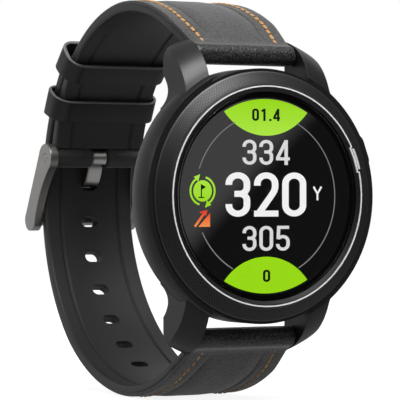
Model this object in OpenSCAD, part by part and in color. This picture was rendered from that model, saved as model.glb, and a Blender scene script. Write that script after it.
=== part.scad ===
// Golf GPS watch: round case with a knurled bezel, touch display and a two-layer strap buckled into a loop.
// Millimetres. +X points to 3 o'clock, +Z to 12 o'clock and -Y out of the dial.
// The origin is the centre of the case back's flat face.

/* [Case] */
// Diameter of the barrel-shaped case side
case_d = 46; // [44:0.5:54]
// Height from the case back to the front of the trim ring
case_h = 12.8; // [12.4:0.2:16]
// Radius of the curve that rounds the case side
side_r = 7.5; // [6.5:0.1:8.5]
// Wall between the case side and the cavity
case_wall = 1.7; // [1.2:0.1:2.2]
// Height of the case back's flat disc
back_t = 1; // [0.8:0.1:1.4]
// Thickness of the case floor round the back opening
floor_t = 1.6; // [1.2:0.1:2]

/* [Lugs and spring bars] */
// Gap between the lugs, which is the strap's nominal width
lug_gap = 20; // [18:0.5:22]
// Width of a lug
lug_w = 4.4; // [3.6:0.1:5.2]
// Radius of the curve that falls from the case to a lug's tip
lug_r = 10; // [9:0.1:11]
// Radius of a lug's outer corner, seen from the front
lug_corner_r = 3.2; // [2:0.1:3.6]
// Radius of the hollow between a lug's outer side and the case
lug_root_r = 6; // [4:0.5:8]
// Distance of a spring bar from the dial centre
bar_reach = 24.5; // [24.4:0.1:29]
// Height of a spring bar above the case back
bar_z = 3.85; // [3.4:0.05:4.6]
// Diameter of a spring bar's tube
bar_d = 1.7; // [1.5:0.1:1.9]
// Diameter of a spring bar's end pins
bar_pin_d = 0.9; // [0.7:0.1:1]

/* [Bezel and display] */
// Outer diameter of the bezel's foot
bezel_d = 42.8; // [41.4:0.2:43.8]
// Diameter of the front end of the knurled cone
cone_top_d = 38.7; // [38.5:0.1:39.5]
// Outer diameter of the bright trim ring
ring_d = 37.9; // [37:0.1:38]
// Radial width of the trim ring
ring_w = 0.32; // [0.25:0.01:0.4]
// Diameter of the cover glass
crystal_d = 35.6; // [35.4:0.1:35.8]
// Thickness of the cover glass
crystal_t = 1.15; // [0.9:0.05:1.3]
// Depth of the glass below the front of the trim ring
crystal_drop = 0.3; // [0.2:0.05:0.5]
// Diameter of the display module
display_d = 33.5; // [32:0.1:33.6]
// Thickness of the display module
display_t = 1.6; // [1.2:0.1:1.8]

/* [Button] */
// Angle of the side button above 3 o'clock
button_angle = 20; // [10:1:35]
// Length of the button cap along the case side
button_l = 6.4; // [5:0.2:8]
// Height of the button cap
button_w = 3.4; // [3.2:0.1:4]
// How far the cap stands out of the case side
button_out = 1; // [0.8:0.1:1.4]
// Travel of the button
button_travel = 0.7; // [0.4:0.05:0.8]
// Diameter of the button's stem
stem_d = 1.9; // [1.6:0.1:2.1]

/* [Strap] */
// Thickness of the leather
leather_t = 0.9; // [0.7:0.1:1.1]
// Thickness of the silicone lining
lining_t = 1.2; // [1:0.1:1.4]
// Radius of the leather roll round a spring bar
roll_r = 1.85; // [1.6:0.05:2]
// Strap width at the back of the wrist
strap_end_w = 18.2; // [17:0.1:19]
// Distance of the loop's centre behind the case back
loop_y = 20.2; // [19.5:0.1:24]
// Height of the loop's centre
loop_z = -0.3; // [-1:0.1:1]
// Outer radius of the buckle half's loop
upper_r = 35.5; // [34.9:0.05:38]
// Outer radius of the hole half's loop
lower_r = 35.7; // [35.2:0.05:38.4]
// Wider radius of the tail outside the buckle
tail_r = 38.8; // [37.5:0.1:42]
// Width of an adjusting hole across the strap
hole_l = 3.5; // [3.3:0.1:4.5]
// Length of an adjusting hole along the strap
hole_w = 2.2; // [2:0.1:2.8]
// Angle between neighbouring holes round the loop
hole_pitch = 11.8; // [10:0.1:13]
// Number of adjusting holes
hole_count = 8; // [4:1:8]

/* [Buckle and keepers] */
// Diameter of the buckle pin
pin_d = 1.5; // [1.2:0.1:1.7]
// Thickness of a buckle side plate
plate_t = 1.6; // [1.2:0.1:2]
// Radius of a plate's boss round the pin
boss_r = 2.6; // [2.2:0.1:2.8]
// Radius of a plate's far end
plate_end_r = 2.1; // [1.8:0.1:2.3]
// Diameter of the crossbar
crossbar_d = 2.3; // [1.8:0.1:2.5]
// Width of the tang
tang_w = 3; // [2.4:0.1:3.2]
// Thickness of the tang's strip
tang_t = 0.7; // [0.5:0.05:0.8]
// Length of a keeper along the strap
keeper_l = 4.7; // [3.5:0.1:5]
// Thickness of a keeper
keeper_t = 1; // [0.8:0.1:1.4]

/* [Hidden] */
$fn = 48;

// Clearances: a running fit, a loose fit and a small visible gap
fit = 0.05;
loose = 0.1;
gap = 0.15;
// Overshoot of cuts
eps = 0.5;

// Case heights above the case back
case_r = case_d / 2;
bulge_r = case_r - side_r;
bulge_z = back_t + side_r - 0.5;
bezel_z = case_h - 2;
body_z0 = back_t;
cavity_z0 = back_t + floor_t;
crystal_z = case_h - crystal_drop - crystal_t;
gasket_t = 0.25;
ledge_z = crystal_z - gasket_t;
display_z = crystal_z - loose - display_t;
top_plate_z = bezel_z - 1.2;
cavity_r = bulge_r + sqrt(pow(side_r, 2) - pow(cavity_z0 - bulge_z, 2)) - case_wall;
back_opening_r = 14.6;
back_r = bulge_r + sqrt(pow(side_r, 2) - pow(back_t - bulge_z, 2)) - 0.4;
ledge_r = display_d / 2 + loose;
display_opening_r = display_d / 2 + 0.45;
notch_r = bezel_d / 2 + 0.5;

// Lugs
lug_x = lug_gap / 2;
lug_tip_r = norm([lug_x, bar_reach]) + 2.55;
lug_hole_depth = 1;
lug_foot_z = 1.5;
lug_cap_z = 0.3;
lug_arch_r = 5.5;
lug_arch_y = notch_r - 5.4;
lug_arch_z = -2;

// Strap
strap_t = leather_t + lining_t;
strap_w = lug_gap - 2 * gap;
end_w = min(strap_end_w, strap_w);
upper_bar = [-bar_z, bar_reach];
lower_bar = [-bar_z, -bar_reach];
loop_c = [loop_y, loop_z];

// A value rounded to a hundredth, so that arcs with different centres meet in one face
function hundredth(x) = round(100 * x) / 100;

// Radius of the front arc of a half with outer radius r, from the loop's top (dir 1) or bottom (dir -1)
// to its spring bar, so that the strap runs centrally into the bar's roll
function front_r(bar, r, dir) =
    let (dy = loop_y - bar[0], h = dir * (loop_z + dir * r - bar[1]))
    hundredth((pow(dy, 2) + pow(h, 2) - pow(strap_t / 2, 2)) / (2 * h - strap_t));
upper_front_r = front_r(upper_bar, upper_r, 1);
lower_front_r = front_r(lower_bar, lower_r, -1);
upper_front_c = loop_c + [0, upper_r - upper_front_r];
lower_front_c = loop_c - [0, lower_r - lower_front_r];
tail_c = loop_c + [lower_r - tail_r, 0];
tail_tip_angle = 45.2;
tail_corner_r = 3.5;

// The buckle half dips from the loop's top so that its pin lies inside the tail
pin_lie = 15.5;
pin_depth = lower_r - strap_t - gap - roll_r;
dip_r = hundredth(upper_r - (upper_r - strap_t / 2 - pin_depth) / (1 - sin(pin_lie)));
dip_c = loop_c + [0, upper_r - dip_r];
pin_angle = 7;
pin_c = dip_c + (dip_r - strap_t / 2) * [cos(pin_angle), sin(pin_angle)];
fixed_keeper_angle = 25.6;
sliding_keeper_angle = 42.3;
groove_inset = 3.1;
groove_w = 0.8;
groove_d = 0.35;
leather_inset = 0.35;
crease_inset = 4.6;
first_hole_angle = 15.8;
tang_hole_angle = first_hole_angle - hole_pitch;
tang_slot_w = tang_w + 0.6;

// Buckle
plate_x = end_w / 2 + 0.35;
crossbar_angle = -6.5;
plate_end_c = loop_c + (lower_r + 1.3) * [cos(crossbar_angle), sin(crossbar_angle)];
crossbar_c = loop_c + (lower_r + gap + crossbar_d / 2) * [cos(crossbar_angle), sin(crossbar_angle)];
tang_roll_r = pin_d / 2 + fit + tang_t;

// Spring bars
bar_tube_l = lug_gap - 1.6;
bar_bore_d = bar_d - 0.5;
tip_rod_d = bar_bore_d - 2 * fit;
tip_rod_l = 3.2;

// Button, along its own axis out of the dial centre
button_z = bulge_z - 0.7;
cap_out_r = case_r + button_out;
pocket_r = case_r - 2.1;
cap_in_r = pocket_r + button_travel + loose;
spring_seat_r = cap_in_r + 1.1;
stem_end_r = cavity_r - 1.1;
spring_wire = 0.5;

// Puts the dial's own frame (x to 3 o'clock, y to 12 o'clock, z out of the dial) into the part's frame
module on_dial() {
    rotate([90, 0, 0])
        children();
}

// Puts the loop's side view (x towards the wrist, y up) into the part's frame; z runs across the strap
module in_side_view() {
    rotate([90, 0, 90])
        children();
}

// Moves to a point of the side view
module at_side(p) {
    translate([p[0], p[1], 0])
        children();
}

// A flat slot shape: length l between its round ends, width w
module obround(l, w) {
    square([l - w, w], center = true);
    for (s = [-1, 1])
        translate([s * (l - w) / 2, 0])
            circle(d = w);
}

// A rectangle with round corners, centred
module rounded(l, w, r) {
    square([l - 2 * r, w], center = true);
    square([l, w - 2 * r], center = true);
    for (i = [-1, 1], j = [-1, 1])
        translate([i * (l / 2 - r), j * (w / 2 - r)])
            circle(r = r);
}

// A ring with a rectangular section
module washer(r_out, r_in, h) {
    difference() {
        cylinder(r = r_out, h = h);
        translate([0, 0, -eps])
            cylinder(r = r_in, h = h + 2 * eps);
    }
}

// The case's outer solid of revolution: a disc with a barrel side
module barrel() {
    rotate_extrude()
        intersection() {
            union() {
                square([bulge_r, case_h]);
                translate([bulge_r, bulge_z])
                    circle(r = side_r);
            }
            translate([0, body_z0])
                square([case_r + 1, bezel_z - body_z0]);
        }
}

// The four lugs: their outlines on the dial, under a curve turned about the dial's axis, arched underneath
module lugs() {
    difference() {
        intersection() {
            rotate_extrude()
                intersection() {
                    union() {
                        square([lug_tip_r - lug_r, lug_cap_z + lug_r]);
                        translate([lug_tip_r - lug_r, lug_cap_z])
                            circle(r = lug_r);
                    }
                    translate([0, lug_foot_z])
                        square([lug_tip_r + eps, bezel_z - lug_foot_z]);
                }
            linear_extrude(case_h)
                for (i = [0, 1], j = [0, 1])
                    mirror([i, 0])
                        mirror([0, j])
                            lug_outline();
        }
        for (s = [-1, 1])
            translate([0, s * lug_arch_y, lug_arch_z])
                rotate([0, 90, 0])
                    cylinder(r = lug_arch_r, h = 2 * case_d, center = true);
    }
}

// Outline of the lug at 1 o'clock: a straight side with a round outer corner, hollowed into the case's front
module lug_outline() {
    side = lug_x + lug_w;
    corner_x = side - lug_corner_r;
    corner_c = [corner_x, sqrt(pow(lug_tip_r - lug_corner_r, 2) - pow(corner_x, 2))];
    root_x = side + lug_root_r;
    root_c = [root_x, sqrt(pow(notch_r + lug_root_r, 2) - pow(root_x, 2))];
    difference() {
        union() {
            polygon([
                [lug_x - 1, bulge_r / 2],
                [lug_x - 1, lug_tip_r],
                corner_c * lug_tip_r / (lug_tip_r - lug_corner_r),
                corner_c,
                [side, corner_c[1]],
                [side, root_c[1]],
                root_c,
                root_c * notch_r / (notch_r + lug_root_r)
            ]);
            translate(corner_c)
                circle(r = lug_corner_r);
        }
        translate(root_c)
            circle(r = lug_root_r);
    }
}

// Places the children on the button's axis: z runs out of the case side
module on_button_axis() {
    on_dial()
        translate([0, 0, button_z])
            rotate([0, 0, button_angle])
                rotate([0, 90, 0])
                    rotate([0, 0, 90])
                        children();
}

module case_body() {
    color("#37373a")
        difference() {
            on_dial()
                union() {
                    barrel();
                    lugs();
                }
            on_dial()
                case_cuts();
            on_button_axis()
                button_cuts();
            for (bar = [upper_bar, lower_bar])
                in_side_view()
                    at_side(bar)
                        cylinder(d = bar_pin_d + 2 * fit, h = lug_gap + 2 * lug_hole_depth, center = true);
        }
}

// Cavity, display opening, back opening, screw holes and the strap notches between the lugs
module case_cuts() {
    translate([0, 0, cavity_z0])
        cylinder(r = cavity_r, h = top_plate_z - cavity_z0);
    translate([0, 0, top_plate_z - eps])
        cylinder(r = display_opening_r, h = case_h);
    translate([0, 0, -eps])
        cylinder(r = back_opening_r, h = case_h / 2);
    translate([0, 0, -eps])
        cylinder(r = back_r + gap, h = back_t + eps);
    translate([0, 0, back_t - eps])
        screw_pattern()
            cylinder(r = screw_r + fit, h = floor_t + 2 * eps);
    for (s = [0, 1])
        mirror([0, s, 0])
            difference() {
                translate([-lug_x, bulge_r / 2, -eps])
                    cube([lug_gap, case_d, case_h + 2 * eps]);
                translate([0, 0, -2 * eps])
                    cylinder(r = notch_r, h = case_h + 4 * eps);
            }
}

// Pocket for the cap and bore for the stem
module button_cuts() {
    translate([0, 0, pocket_r])
        linear_extrude(case_r)
            obround(button_l + 2 * loose, button_w + 2 * loose);
    cylinder(d = stem_d + 2 * fit, h = case_r);
}

// Screws of the case back
screw_r = 0.6;
screw_head_r = 1.05;
screw_head_h = 0.7;
screw_l = 2.3;
screw_pcd = 2 * (back_opening_r + 1.6);
module screw_pattern() {
    for (i = [0:3])
        rotate([0, 0, 45 + 90 * i])
            translate([screw_pcd / 2, 0, 0])
                children();
}

module bezel() {
    lip_z = case_h - 0.1;
    foot_edge = 0.25;
    groove_z = case_h - ring_h;
    ring_in = ring_d / 2 - ring_w;
    color("#2f2f32")
        on_dial()
            difference() {
                rotate_extrude()
                    polygon([
                        [ledge_r, bezel_z],
                        [bezel_d / 2, bezel_z],
                        [bezel_d / 2, bezel_z + foot_edge],
                        [bezel_d / 2 - 0.25, bezel_z + foot_edge + 0.15],
                        [cone_top_d / 2, case_h - 0.45],
                        [ring_d / 2 + 0.1, lip_z],
                        [ring_d / 2, lip_z],
                        [ring_d / 2, groove_z],
                        [ring_in, groove_z],
                        [ring_in, lip_z],
                        [ring_in - 0.1, lip_z],
                        [crystal_d / 2 + loose, case_h - crystal_drop - 0.1],
                        [crystal_d / 2 + loose, ledge_z],
                        [ledge_r, ledge_z]
                    ]);
                marker_space(fit);
            }
}

// The trim ring's height, its step and its marker bar: angles from the button's
ring_h = 0.5;
step_half_angle = 7;
step_room = 0.4;
step_depth = 0.3;
step_joint = 0.25;
marker_w = 0.42;
marker_half_angle = 5.6;

// Space that the stepped ring and the marker take out of the bezel's lip
module marker_space(c) {
    translate([0, 0, case_h - ring_h])
        rotate([0, 0, button_angle - step_half_angle - step_room])
            rotate_extrude(angle = 2 * (step_half_angle + step_room))
                translate([ring_d / 2 - ring_w - step_depth - c, 0])
                    square([ring_w + step_depth + marker_w + 2 * c, 2 * ring_h]);
}

module trim_ring() {
    ring_in = ring_d / 2 - ring_w + fit;
    section_w = ring_w - 2 * fit;
    step_from = button_angle - step_half_angle;
    step_to = button_angle + step_half_angle;
    color("#e9e9ea")
        on_dial()
            translate([0, 0, case_h - ring_h]) {
                ring_arc(step_to, step_from + 360, ring_in, section_w);
                ring_arc(step_from, step_to, ring_in - step_depth, section_w);
                for (at = [step_from, step_to])
                    ring_arc(at - step_joint, at + step_joint, ring_in - step_depth, section_w + step_depth);
            }
}

// An arc of the ring from angle a to angle b, with inner radius r and radial width w
module ring_arc(a, b, r, w) {
    rotate_extrude(start = a, angle = b - a)
        translate([r, 0])
            square([w, ring_h]);
}

module bezel_marker() {
    color("#f2f2f2")
        on_dial()
            translate([0, 0, case_h - ring_h])
                rotate([0, 0, button_angle - marker_half_angle])
                    rotate_extrude(angle = 2 * marker_half_angle)
                        translate([ring_d / 2 - step_depth + gap / 2, 0])
                            square([marker_w, ring_h]);
}

module crystal() {
    edge = 0.2;
    color("#15161a")
        on_dial()
            rotate_extrude()
                polygon([
                    [0, crystal_z],
                    [crystal_d / 2, crystal_z],
                    [crystal_d / 2, crystal_z + crystal_t - edge],
                    [crystal_d / 2 - edge, crystal_z + crystal_t],
                    [0, crystal_z + crystal_t]
                ]);
}

module crystal_gasket() {
    color("#1b1b1d")
        on_dial()
            translate([0, 0, ledge_z])
                washer(crystal_d / 2 - loose, ledge_r + loose, gasket_t);
}

module display_panel() {
    color("#101114")
        on_dial()
            translate([0, 0, display_z])
                cylinder(d = display_d, h = display_t);
}

// Carrier: a plate under the display with a wall that the board and the battery sit in
frame_r = display_opening_r - loose;
frame_plate_t = 0.8;
frame_plate_z = display_z - frame_plate_t;
frame_wall = 0.8;
frame_foot_z = cavity_z0 + 0.1;
module inner_frame() {
    color("#4a4b50")
        on_dial()
            difference() {
                union() {
                    translate([0, 0, frame_plate_z])
                        cylinder(r = frame_r, h = frame_plate_t);
                    translate([0, 0, frame_foot_z])
                        washer(frame_r, frame_r - frame_wall, frame_plate_z - frame_foot_z);
                }
                flex_slot(loose);
            }
}

// Slot in the carrier's plate through which the display's flex passes
flex_w = 7;
flex_t = 0.2;
flex_y = -12.5;
module flex_slot(c) {
    translate([-flex_w / 2 - c, flex_y - c, frame_plate_z - eps])
        cube([flex_w + 2 * c, flex_t + 2 * c, frame_plate_t + 2 * eps]);
}

battery_z = back_t + floor_t + 0.1;
battery_t = 3.4;
battery = [21, 19];
battery_y = -3;
board_t = 0.8;
board_z = battery_z + battery_t + 0.2;
board_r = frame_r - frame_wall - loose;
module display_flex() {
    color("#b5772c")
        on_dial()
            translate([-flex_w / 2, flex_y, board_z + board_t])
                cube([flex_w, flex_t, display_z - board_z - board_t]);
}

module main_board() {
    color("#1f5c38")
        on_dial()
            translate([0, 0, board_z])
                cylinder(r = board_r, h = board_t);
}

can = [14, 11];
module shield_can() {
    can_h = frame_plate_z - board_z - board_t - 0.2;
    color("#b9bcc0")
        on_dial()
            translate([0, 1.5, board_z + board_t])
                linear_extrude(can_h)
                    rounded(can[0], can[1], 0.8);
}

module gps_antenna() {
    color("#c9a25a")
        on_dial()
            translate([0, 0, top_plate_z - 0.6])
                washer(cavity_r - loose, frame_r + loose, 0.6);
}

module battery() {
    color("#8f9499")
        on_dial()
            translate([0, battery_y, battery_z])
                linear_extrude(battery_t)
                    rounded(battery[0], battery[1], 1.5);
}

motor_r = 3.6;
module vibration_motor() {
    motor_y = battery_y + battery[1] / 2 + 0.4 + motor_r;
    color("#a7abb0")
        on_dial()
            translate([0, motor_y, battery_z])
                cylinder(r = motor_r, h = 2.7);
}

spigot_h = floor_t;
module case_back() {
    edge = 0.35;
    color("#4b4c50")
        on_dial()
            difference() {
                rotate_extrude()
                    polygon([
                        [0, 0],
                        [back_r - edge, 0],
                        [back_r, edge],
                        [back_r, back_t],
                        [back_opening_r - loose, back_t],
                        [back_opening_r - loose, back_t + spigot_h],
                        [back_opening_r - 1, back_t + spigot_h],
                        [back_opening_r - 1, back_t],
                        [0, back_t]
                    ]);
                screw_pattern()
                    translate([0, 0, -eps]) {
                        cylinder(r = screw_r + fit, h = back_t + 2 * eps);
                        cylinder(r = screw_head_r + fit, h = screw_head_h + eps);
                    }
                contact_pattern()
                    translate([0, 0, -eps])
                        cylinder(r = contact_r + fit, h = back_t + 2 * eps);
                gasket_groove(0);
            }
}

// Face groove in the case back for its sealing ring
seal_r = back_opening_r + 0.35;
seal_w = 0.4;
seal_depth = 0.35;
module gasket_groove(c) {
    translate([0, 0, back_t - seal_depth])
        washer(seal_r + seal_w / 2 - c, seal_r - seal_w / 2 + c, seal_depth + (c > 0 ? 0 : eps));
}

module back_gasket() {
    color("#202022")
        on_dial()
            gasket_groove(0.03);
}

module case_screws() {
    color("#9da1a6")
        on_dial()
            screw_pattern()
                difference() {
                    union() {
                        cylinder(r = screw_head_r, h = screw_head_h);
                        cylinder(r = screw_r, h = screw_l);
                    }
                    for (a = [0, 90])
                        rotate([0, 0, a])
                            translate([-0.65, -0.13, -eps])
                                cube([1.3, 0.26, eps + 0.35]);
                }
}

contact_r = 0.9;
contact_pitch = 2.6;
module contact_pattern() {
    for (i = [-1.5:1:1.5])
        translate([i * contact_pitch, -9, 0])
            children();
}

module charging_contacts() {
    color("#d8b45a")
        on_dial()
            contact_pattern()
                translate([0, 0, 0.1])
                    cylinder(r = contact_r, h = back_t + 0.2);
}

module button_cap() {
    edge = 0.4;
    color("#3a3a3d")
        on_button_axis()
            difference() {
                union() {
                    translate([0, 0, cap_in_r])
                        linear_extrude(cap_out_r - edge - cap_in_r)
                            obround(button_l, button_w);
                    translate([0, 0, cap_in_r])
                        linear_extrude(cap_out_r - cap_in_r)
                            obround(button_l - 2 * edge, button_w - 2 * edge);
                    translate([0, 0, stem_end_r])
                        cylinder(d = stem_d, h = cap_in_r - stem_end_r + eps);
                }
                translate([0, 0, cap_in_r - eps])
                    washer(spring_out_r + loose, stem_d / 2, spring_seat_r - cap_in_r + eps);
                translate([0, 0, seal_at])
                    washer(stem_d, stem_d / 2 - seal_wire, seal_l + loose);
                translate([0, 0, clip_at])
                    washer(stem_d, stem_d / 2 - seal_wire, clip_t + fit);
            }
}

// The spring round the stem, between the pocket's floor and the cap
spring_out_r = stem_d / 2 + gap + spring_wire;
module button_spring() {
    color("#c4c7cb")
        on_button_axis()
            translate([0, 0, pocket_r])
                washer(spring_out_r, stem_d / 2 + gap, spring_seat_r - pocket_r);
}

// The sealing ring in the stem's groove, inside the bore
seal_wire = 0.3;
seal_l = 0.5;
seal_at = (cavity_r + pocket_r) / 2 - seal_l / 2;
module button_seal() {
    color("#1a1a1c")
        on_button_axis()
            translate([0, 0, seal_at + fit])
                washer(stem_d / 2, stem_d / 2 - seal_wire + 0.02, seal_l);
}

// The clip on the stem's inner end, which keeps the button in
clip_t = 0.3;
clip_at = cavity_r - clip_t - 0.35;
module button_clip() {
    color("#aeb2b6")
        on_button_axis()
            translate([0, 0, clip_at + fit / 2])
                difference() {
                    washer(stem_d / 2 + 0.7, stem_d / 2 - seal_wire + 0.02, clip_t);
                    translate([0, -0.4, -eps])
                        cube([stem_d * 2, 0.8, clip_t + 2 * eps]);
                }
}

// Tube of a spring bar
module bar_tube(bar) {
    color("#b4b7bb")
        in_side_view()
            at_side(bar)
                difference() {
                    cylinder(d = bar_d, h = bar_tube_l, center = true);
                    cylinder(d = bar_bore_d, h = bar_tube_l + 2 * eps, center = true);
                }
}

// Sprung end of a spring bar: a rod in the tube and a pin in the lug's hole; side is -1 at 9 o'clock
module bar_tip(bar, side) {
    rod_end = bar_tube_l / 2 + 0.4;
    pin_end = lug_x + lug_hole_depth - loose;
    color("#c9ccd0")
        in_side_view()
            at_side(bar)
                mirror([0, 0, side < 0 ? 1 : 0]) {
                    translate([0, 0, rod_end - tip_rod_l])
                        cylinder(d = tip_rod_d, h = tip_rod_l);
                    translate([0, 0, rod_end - eps])
                        cylinder(d = bar_pin_d, h = pin_end - rod_end + eps);
                }
}

// The spring between the two rods of a spring bar
module bar_spring(bar) {
    spring_l = 2 * (bar_tube_l / 2 + 0.4 - tip_rod_l);
    color("#d0d3d6")
        in_side_view()
            at_side(bar)
                cylinder(d = tip_rod_d, h = spring_l - 2 * fit, center = true);
}

// Angle about a front arc's centre c at which the spring bar lies, in whole tenths of a degree
function bar_angle(bar, c) =
    let (v = bar - c)
    round(10 * atan2(v[1], v[0])) / 10;

// Angle that a length l takes on a radius r, in whole tenths of a degree
function turn_of(l, r) = ceil(10 * l / r * 180 / PI) / 10;

// Half section of the leather at outer radius r: an edge band for the stitching and a padded middle
band_drop = 0.1;
band_bevel = 0.4;
edge_drop = 0.25;
pad_rise = 0.8;
pad_slope = 1.4;
function leather_edge(r, half_w) =
    let (crease = half_w - crease_inset)
    [
        [r - leather_t, half_w],
        [r - edge_drop, half_w],
        [r - band_drop, half_w - band_bevel],
        [r - band_drop, crease + band_bevel],
        [r - edge_drop, crease],
        [r - band_drop / 2, crease - pad_rise],
        [r, crease - pad_rise - pad_slope]
    ];

// Half section of the lining: bevelled edges and a lengthwise groove in the wrist side
bond = 0.05;
lining_bevel = 0.3;
function lining_edge(r, half_w) =
    let (inner = r - strap_t, groove = half_w - groove_inset)
    [
        [r - leather_t - bond, half_w],
        [inner + lining_bevel, half_w],
        [inner, half_w - lining_bevel],
        [inner, groove + groove_w / 2],
        [inner + groove_d, groove + groove_w / 4],
        [inner + groove_d, groove - groove_w / 4],
        [inner, groove - groove_w / 2]
    ];

// A full section from its half: x is the radius, y runs across the strap
module both_edges(half) {
    n = len(half);
    polygon([for (i = [0:2 * n - 1]) i < n ? half[i] : [half[2 * n - 1 - i][0], -half[2 * n - 1 - i][1]]]);
}

// An arc of strap about centre c, from angle a to angle b
module strap_arc(c, a, b) {
    in_side_view()
        at_side(c)
            rotate_extrude(start = a, angle = b - a)
                children();
}

// The strap's taper: wide at the lugs, narrow behind the wrist, less an inset on each side
module taper(inset) {
    front = -case_h;
    rear = loop_y + tail_r;
    w0 = strap_w / 2 - inset;
    w1 = end_w / 2 - inset;
    linear_extrude(4 * upper_r, center = true)
        polygon([
            [-w0, front],
            [w0, front],
            [w0, 0],
            [w1, loop_y + lower_r],
            [w1, rear],
            [-w1, rear],
            [-w1, loop_y + lower_r],
            [-w0, 0]
        ]);
}

// Roll of leather round a bar or pin, width w
module roll(c, w, bore_d) {
    in_side_view()
        at_side(c)
            difference() {
                cylinder(r = roll_r, h = w, center = true);
                cylinder(d = bore_d, h = w + 2 * eps, center = true);
            }
}

// Room for a spring bar or pin in the strap that runs into its roll
module roll_bore(c, d) {
    in_side_view()
        at_side(c)
            cylinder(d = d, h = 2 * lug_gap, center = true);
}

// Cut-out in the strap's end for the tang
module tang_slot() {
    slot_l = 1.8;
    in_side_view()
        at_side(dip_c)
            rotate([0, 0, pin_angle])
                translate([dip_r - 2 * roll_r - 1, -2 * roll_r, -tang_slot_w / 2])
                    cube([4 * roll_r, 2 * roll_r + slot_l, tang_slot_w]);
}

module upper_strap_leather() {
    half = strap_w / 2;
    color("#48484b")
        difference() {
            union() {
                intersection() {
                    union() {
                        strap_arc(upper_front_c, 90, bar_angle(upper_bar, upper_front_c))
                            both_edges(leather_edge(upper_front_r, half));
                        strap_arc(dip_c, pin_angle, 90)
                            both_edges(leather_edge(dip_r, half));
                    }
                    taper(leather_inset);
                }
                roll(upper_bar, strap_w, bar_d + 2 * fit);
                roll(pin_c, end_w - 0.4, pin_d + 2 * fit);
            }
            roll_bore(upper_bar, bar_d + 2 * fit);
            roll_bore(pin_c, pin_d + 2 * fit);
            tang_slot();
        }
}

module upper_strap_lining() {
    half = strap_w / 2;
    front_end = bar_angle(upper_bar, upper_front_c) - turn_of(roll_r + gap, upper_front_r);
    pin_end = pin_angle + turn_of(roll_r + gap, dip_r - strap_t);
    color("#3c3c3f")
        difference() {
            intersection() {
                union() {
                    strap_arc(upper_front_c, 90, front_end)
                        both_edges(lining_edge(upper_front_r, half));
                    strap_arc(dip_c, pin_end, 90)
                        both_edges(lining_edge(dip_r, half));
                }
                taper(0);
            }
            tang_slot();
        }
}

// What is kept of the hole half: all in front of the loop's centre, and behind it a tail with round corners
module tail_outline(inset) {
    tip = tail_c + tail_r * [cos(tail_tip_angle), sin(tail_tip_angle)];
    l = 4 * lower_r;
    translate([0, 2 * tail_r, tip[1] - inset - l / 2])
        rotate([90, 0, 0])
            linear_extrude(4 * tail_r)
                rounded(end_w - 2 * inset + 4 * gap, l, tail_corner_r);
    translate([-strap_w, -case_h - lower_r, -l / 2])
        cube([2 * strap_w, case_h + lower_r + loop_y, l]);
}

// Row of adjusting holes, from the one nearest the tip
module strap_holes() {
    for (i = [0:hole_count - 1])
        in_side_view()
            at_side(loop_c)
                rotate([0, 0, first_hole_angle - i * hole_pitch])
                    translate([lower_r - 2 * strap_t, 0, 0])
                        rotate([0, 90, 0])
                            linear_extrude(4 * strap_t)
                                obround(hole_l, hole_w);
}

// Sections of the hole half on its front arc, round the wrist and on its tail, cut short by trim at the bar
module lower_path(front_trim) {
    front = bar_angle(lower_bar, lower_front_c) + front_trim;
    strap_arc(lower_front_c, front, -90)
        children(0);
    strap_arc(loop_c, -90, 0)
        children(1);
    strap_arc(tail_c, 0, tail_tip_angle)
        children(2);
}

module lower_strap_leather() {
    half = strap_w / 2;
    color("#48484b")
        difference() {
            union() {
                intersection() {
                    lower_path(0) {
                        both_edges(leather_edge(lower_front_r, half));
                        both_edges(leather_edge(lower_r, half));
                        both_edges(leather_edge(tail_r, half));
                    }
                    taper(leather_inset);
                    tail_outline(leather_inset);
                }
                roll(lower_bar, strap_w, bar_d + 2 * fit);
            }
            roll_bore(lower_bar, bar_d + 2 * fit);
            strap_holes();
        }
}

module lower_strap_lining() {
    half = strap_w / 2;
    color("#3c3c3f")
        difference() {
            intersection() {
                lower_path(turn_of(roll_r + gap, lower_front_r)) {
                    both_edges(lining_edge(lower_front_r, half));
                    both_edges(lining_edge(lower_r, half));
                    both_edges(lining_edge(tail_r, half));
                }
                taper(0);
                tail_outline(0);
            }
            strap_holes();
        }
}

// Distance of the tail's outer face from the dip's centre, at angle a
function tail_reach(a) =
    let (d = dip_c - tail_c, along = d * [cos(a), sin(a)])
    sqrt(pow(along, 2) + pow(tail_r, 2) - d * d) - along;

// Section of a keeper's loop or of its space: x is the radius from its wrist side, y runs across the strap;
// the wrist side's corners are rounder than the outer side's
module keeper_section(h, w, wrist_r, outer_r) {
    translate([wrist_r, -w / 2])
        square([h - wrist_r - outer_r, w]);
    translate([0, wrist_r - w / 2])
        square([h / 2, w - 2 * wrist_r]);
    translate([h / 2, outer_r - w / 2])
        square([h / 2, w - 2 * outer_r]);
    for (s = [-1, 1]) {
        translate([wrist_r, s * (w / 2 - wrist_r)])
            circle(r = wrist_r);
        translate([h - outer_r, s * (w / 2 - outer_r)])
            circle(r = outer_r);
    }
}

// A keeper: a loop round both strap layers, curved with the strap, at angle a of the dip
keeper_turn = keeper_l / dip_r * 180 / PI;
keeper_room = 0.65;
keeper_in = dip_r - strap_t - keeper_room;
keeper_space = tail_reach(fixed_keeper_angle - keeper_turn / 2) + gap - keeper_in;
keeper_half = end_w / 2 + 0.9;
keeper_wrist_r = 2;
keeper_outer_r = 0.8;
module keeper(a) {
    color("#333336")
        strap_arc(dip_c, a - keeper_turn / 2, a + keeper_turn / 2)
            translate([keeper_in, 0])
                difference() {
                    translate([-keeper_t, 0])
                        keeper_section(
                            keeper_space + 2 * keeper_t,
                            2 * (keeper_half + keeper_t),
                            keeper_wrist_r + keeper_t,
                            keeper_outer_r + keeper_t
                        );
                    keeper_section(keeper_space, 2 * keeper_half, keeper_wrist_r, keeper_outer_r);
                }
}

module fixed_keeper() {
    keeper(fixed_keeper_angle);
}

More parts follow.
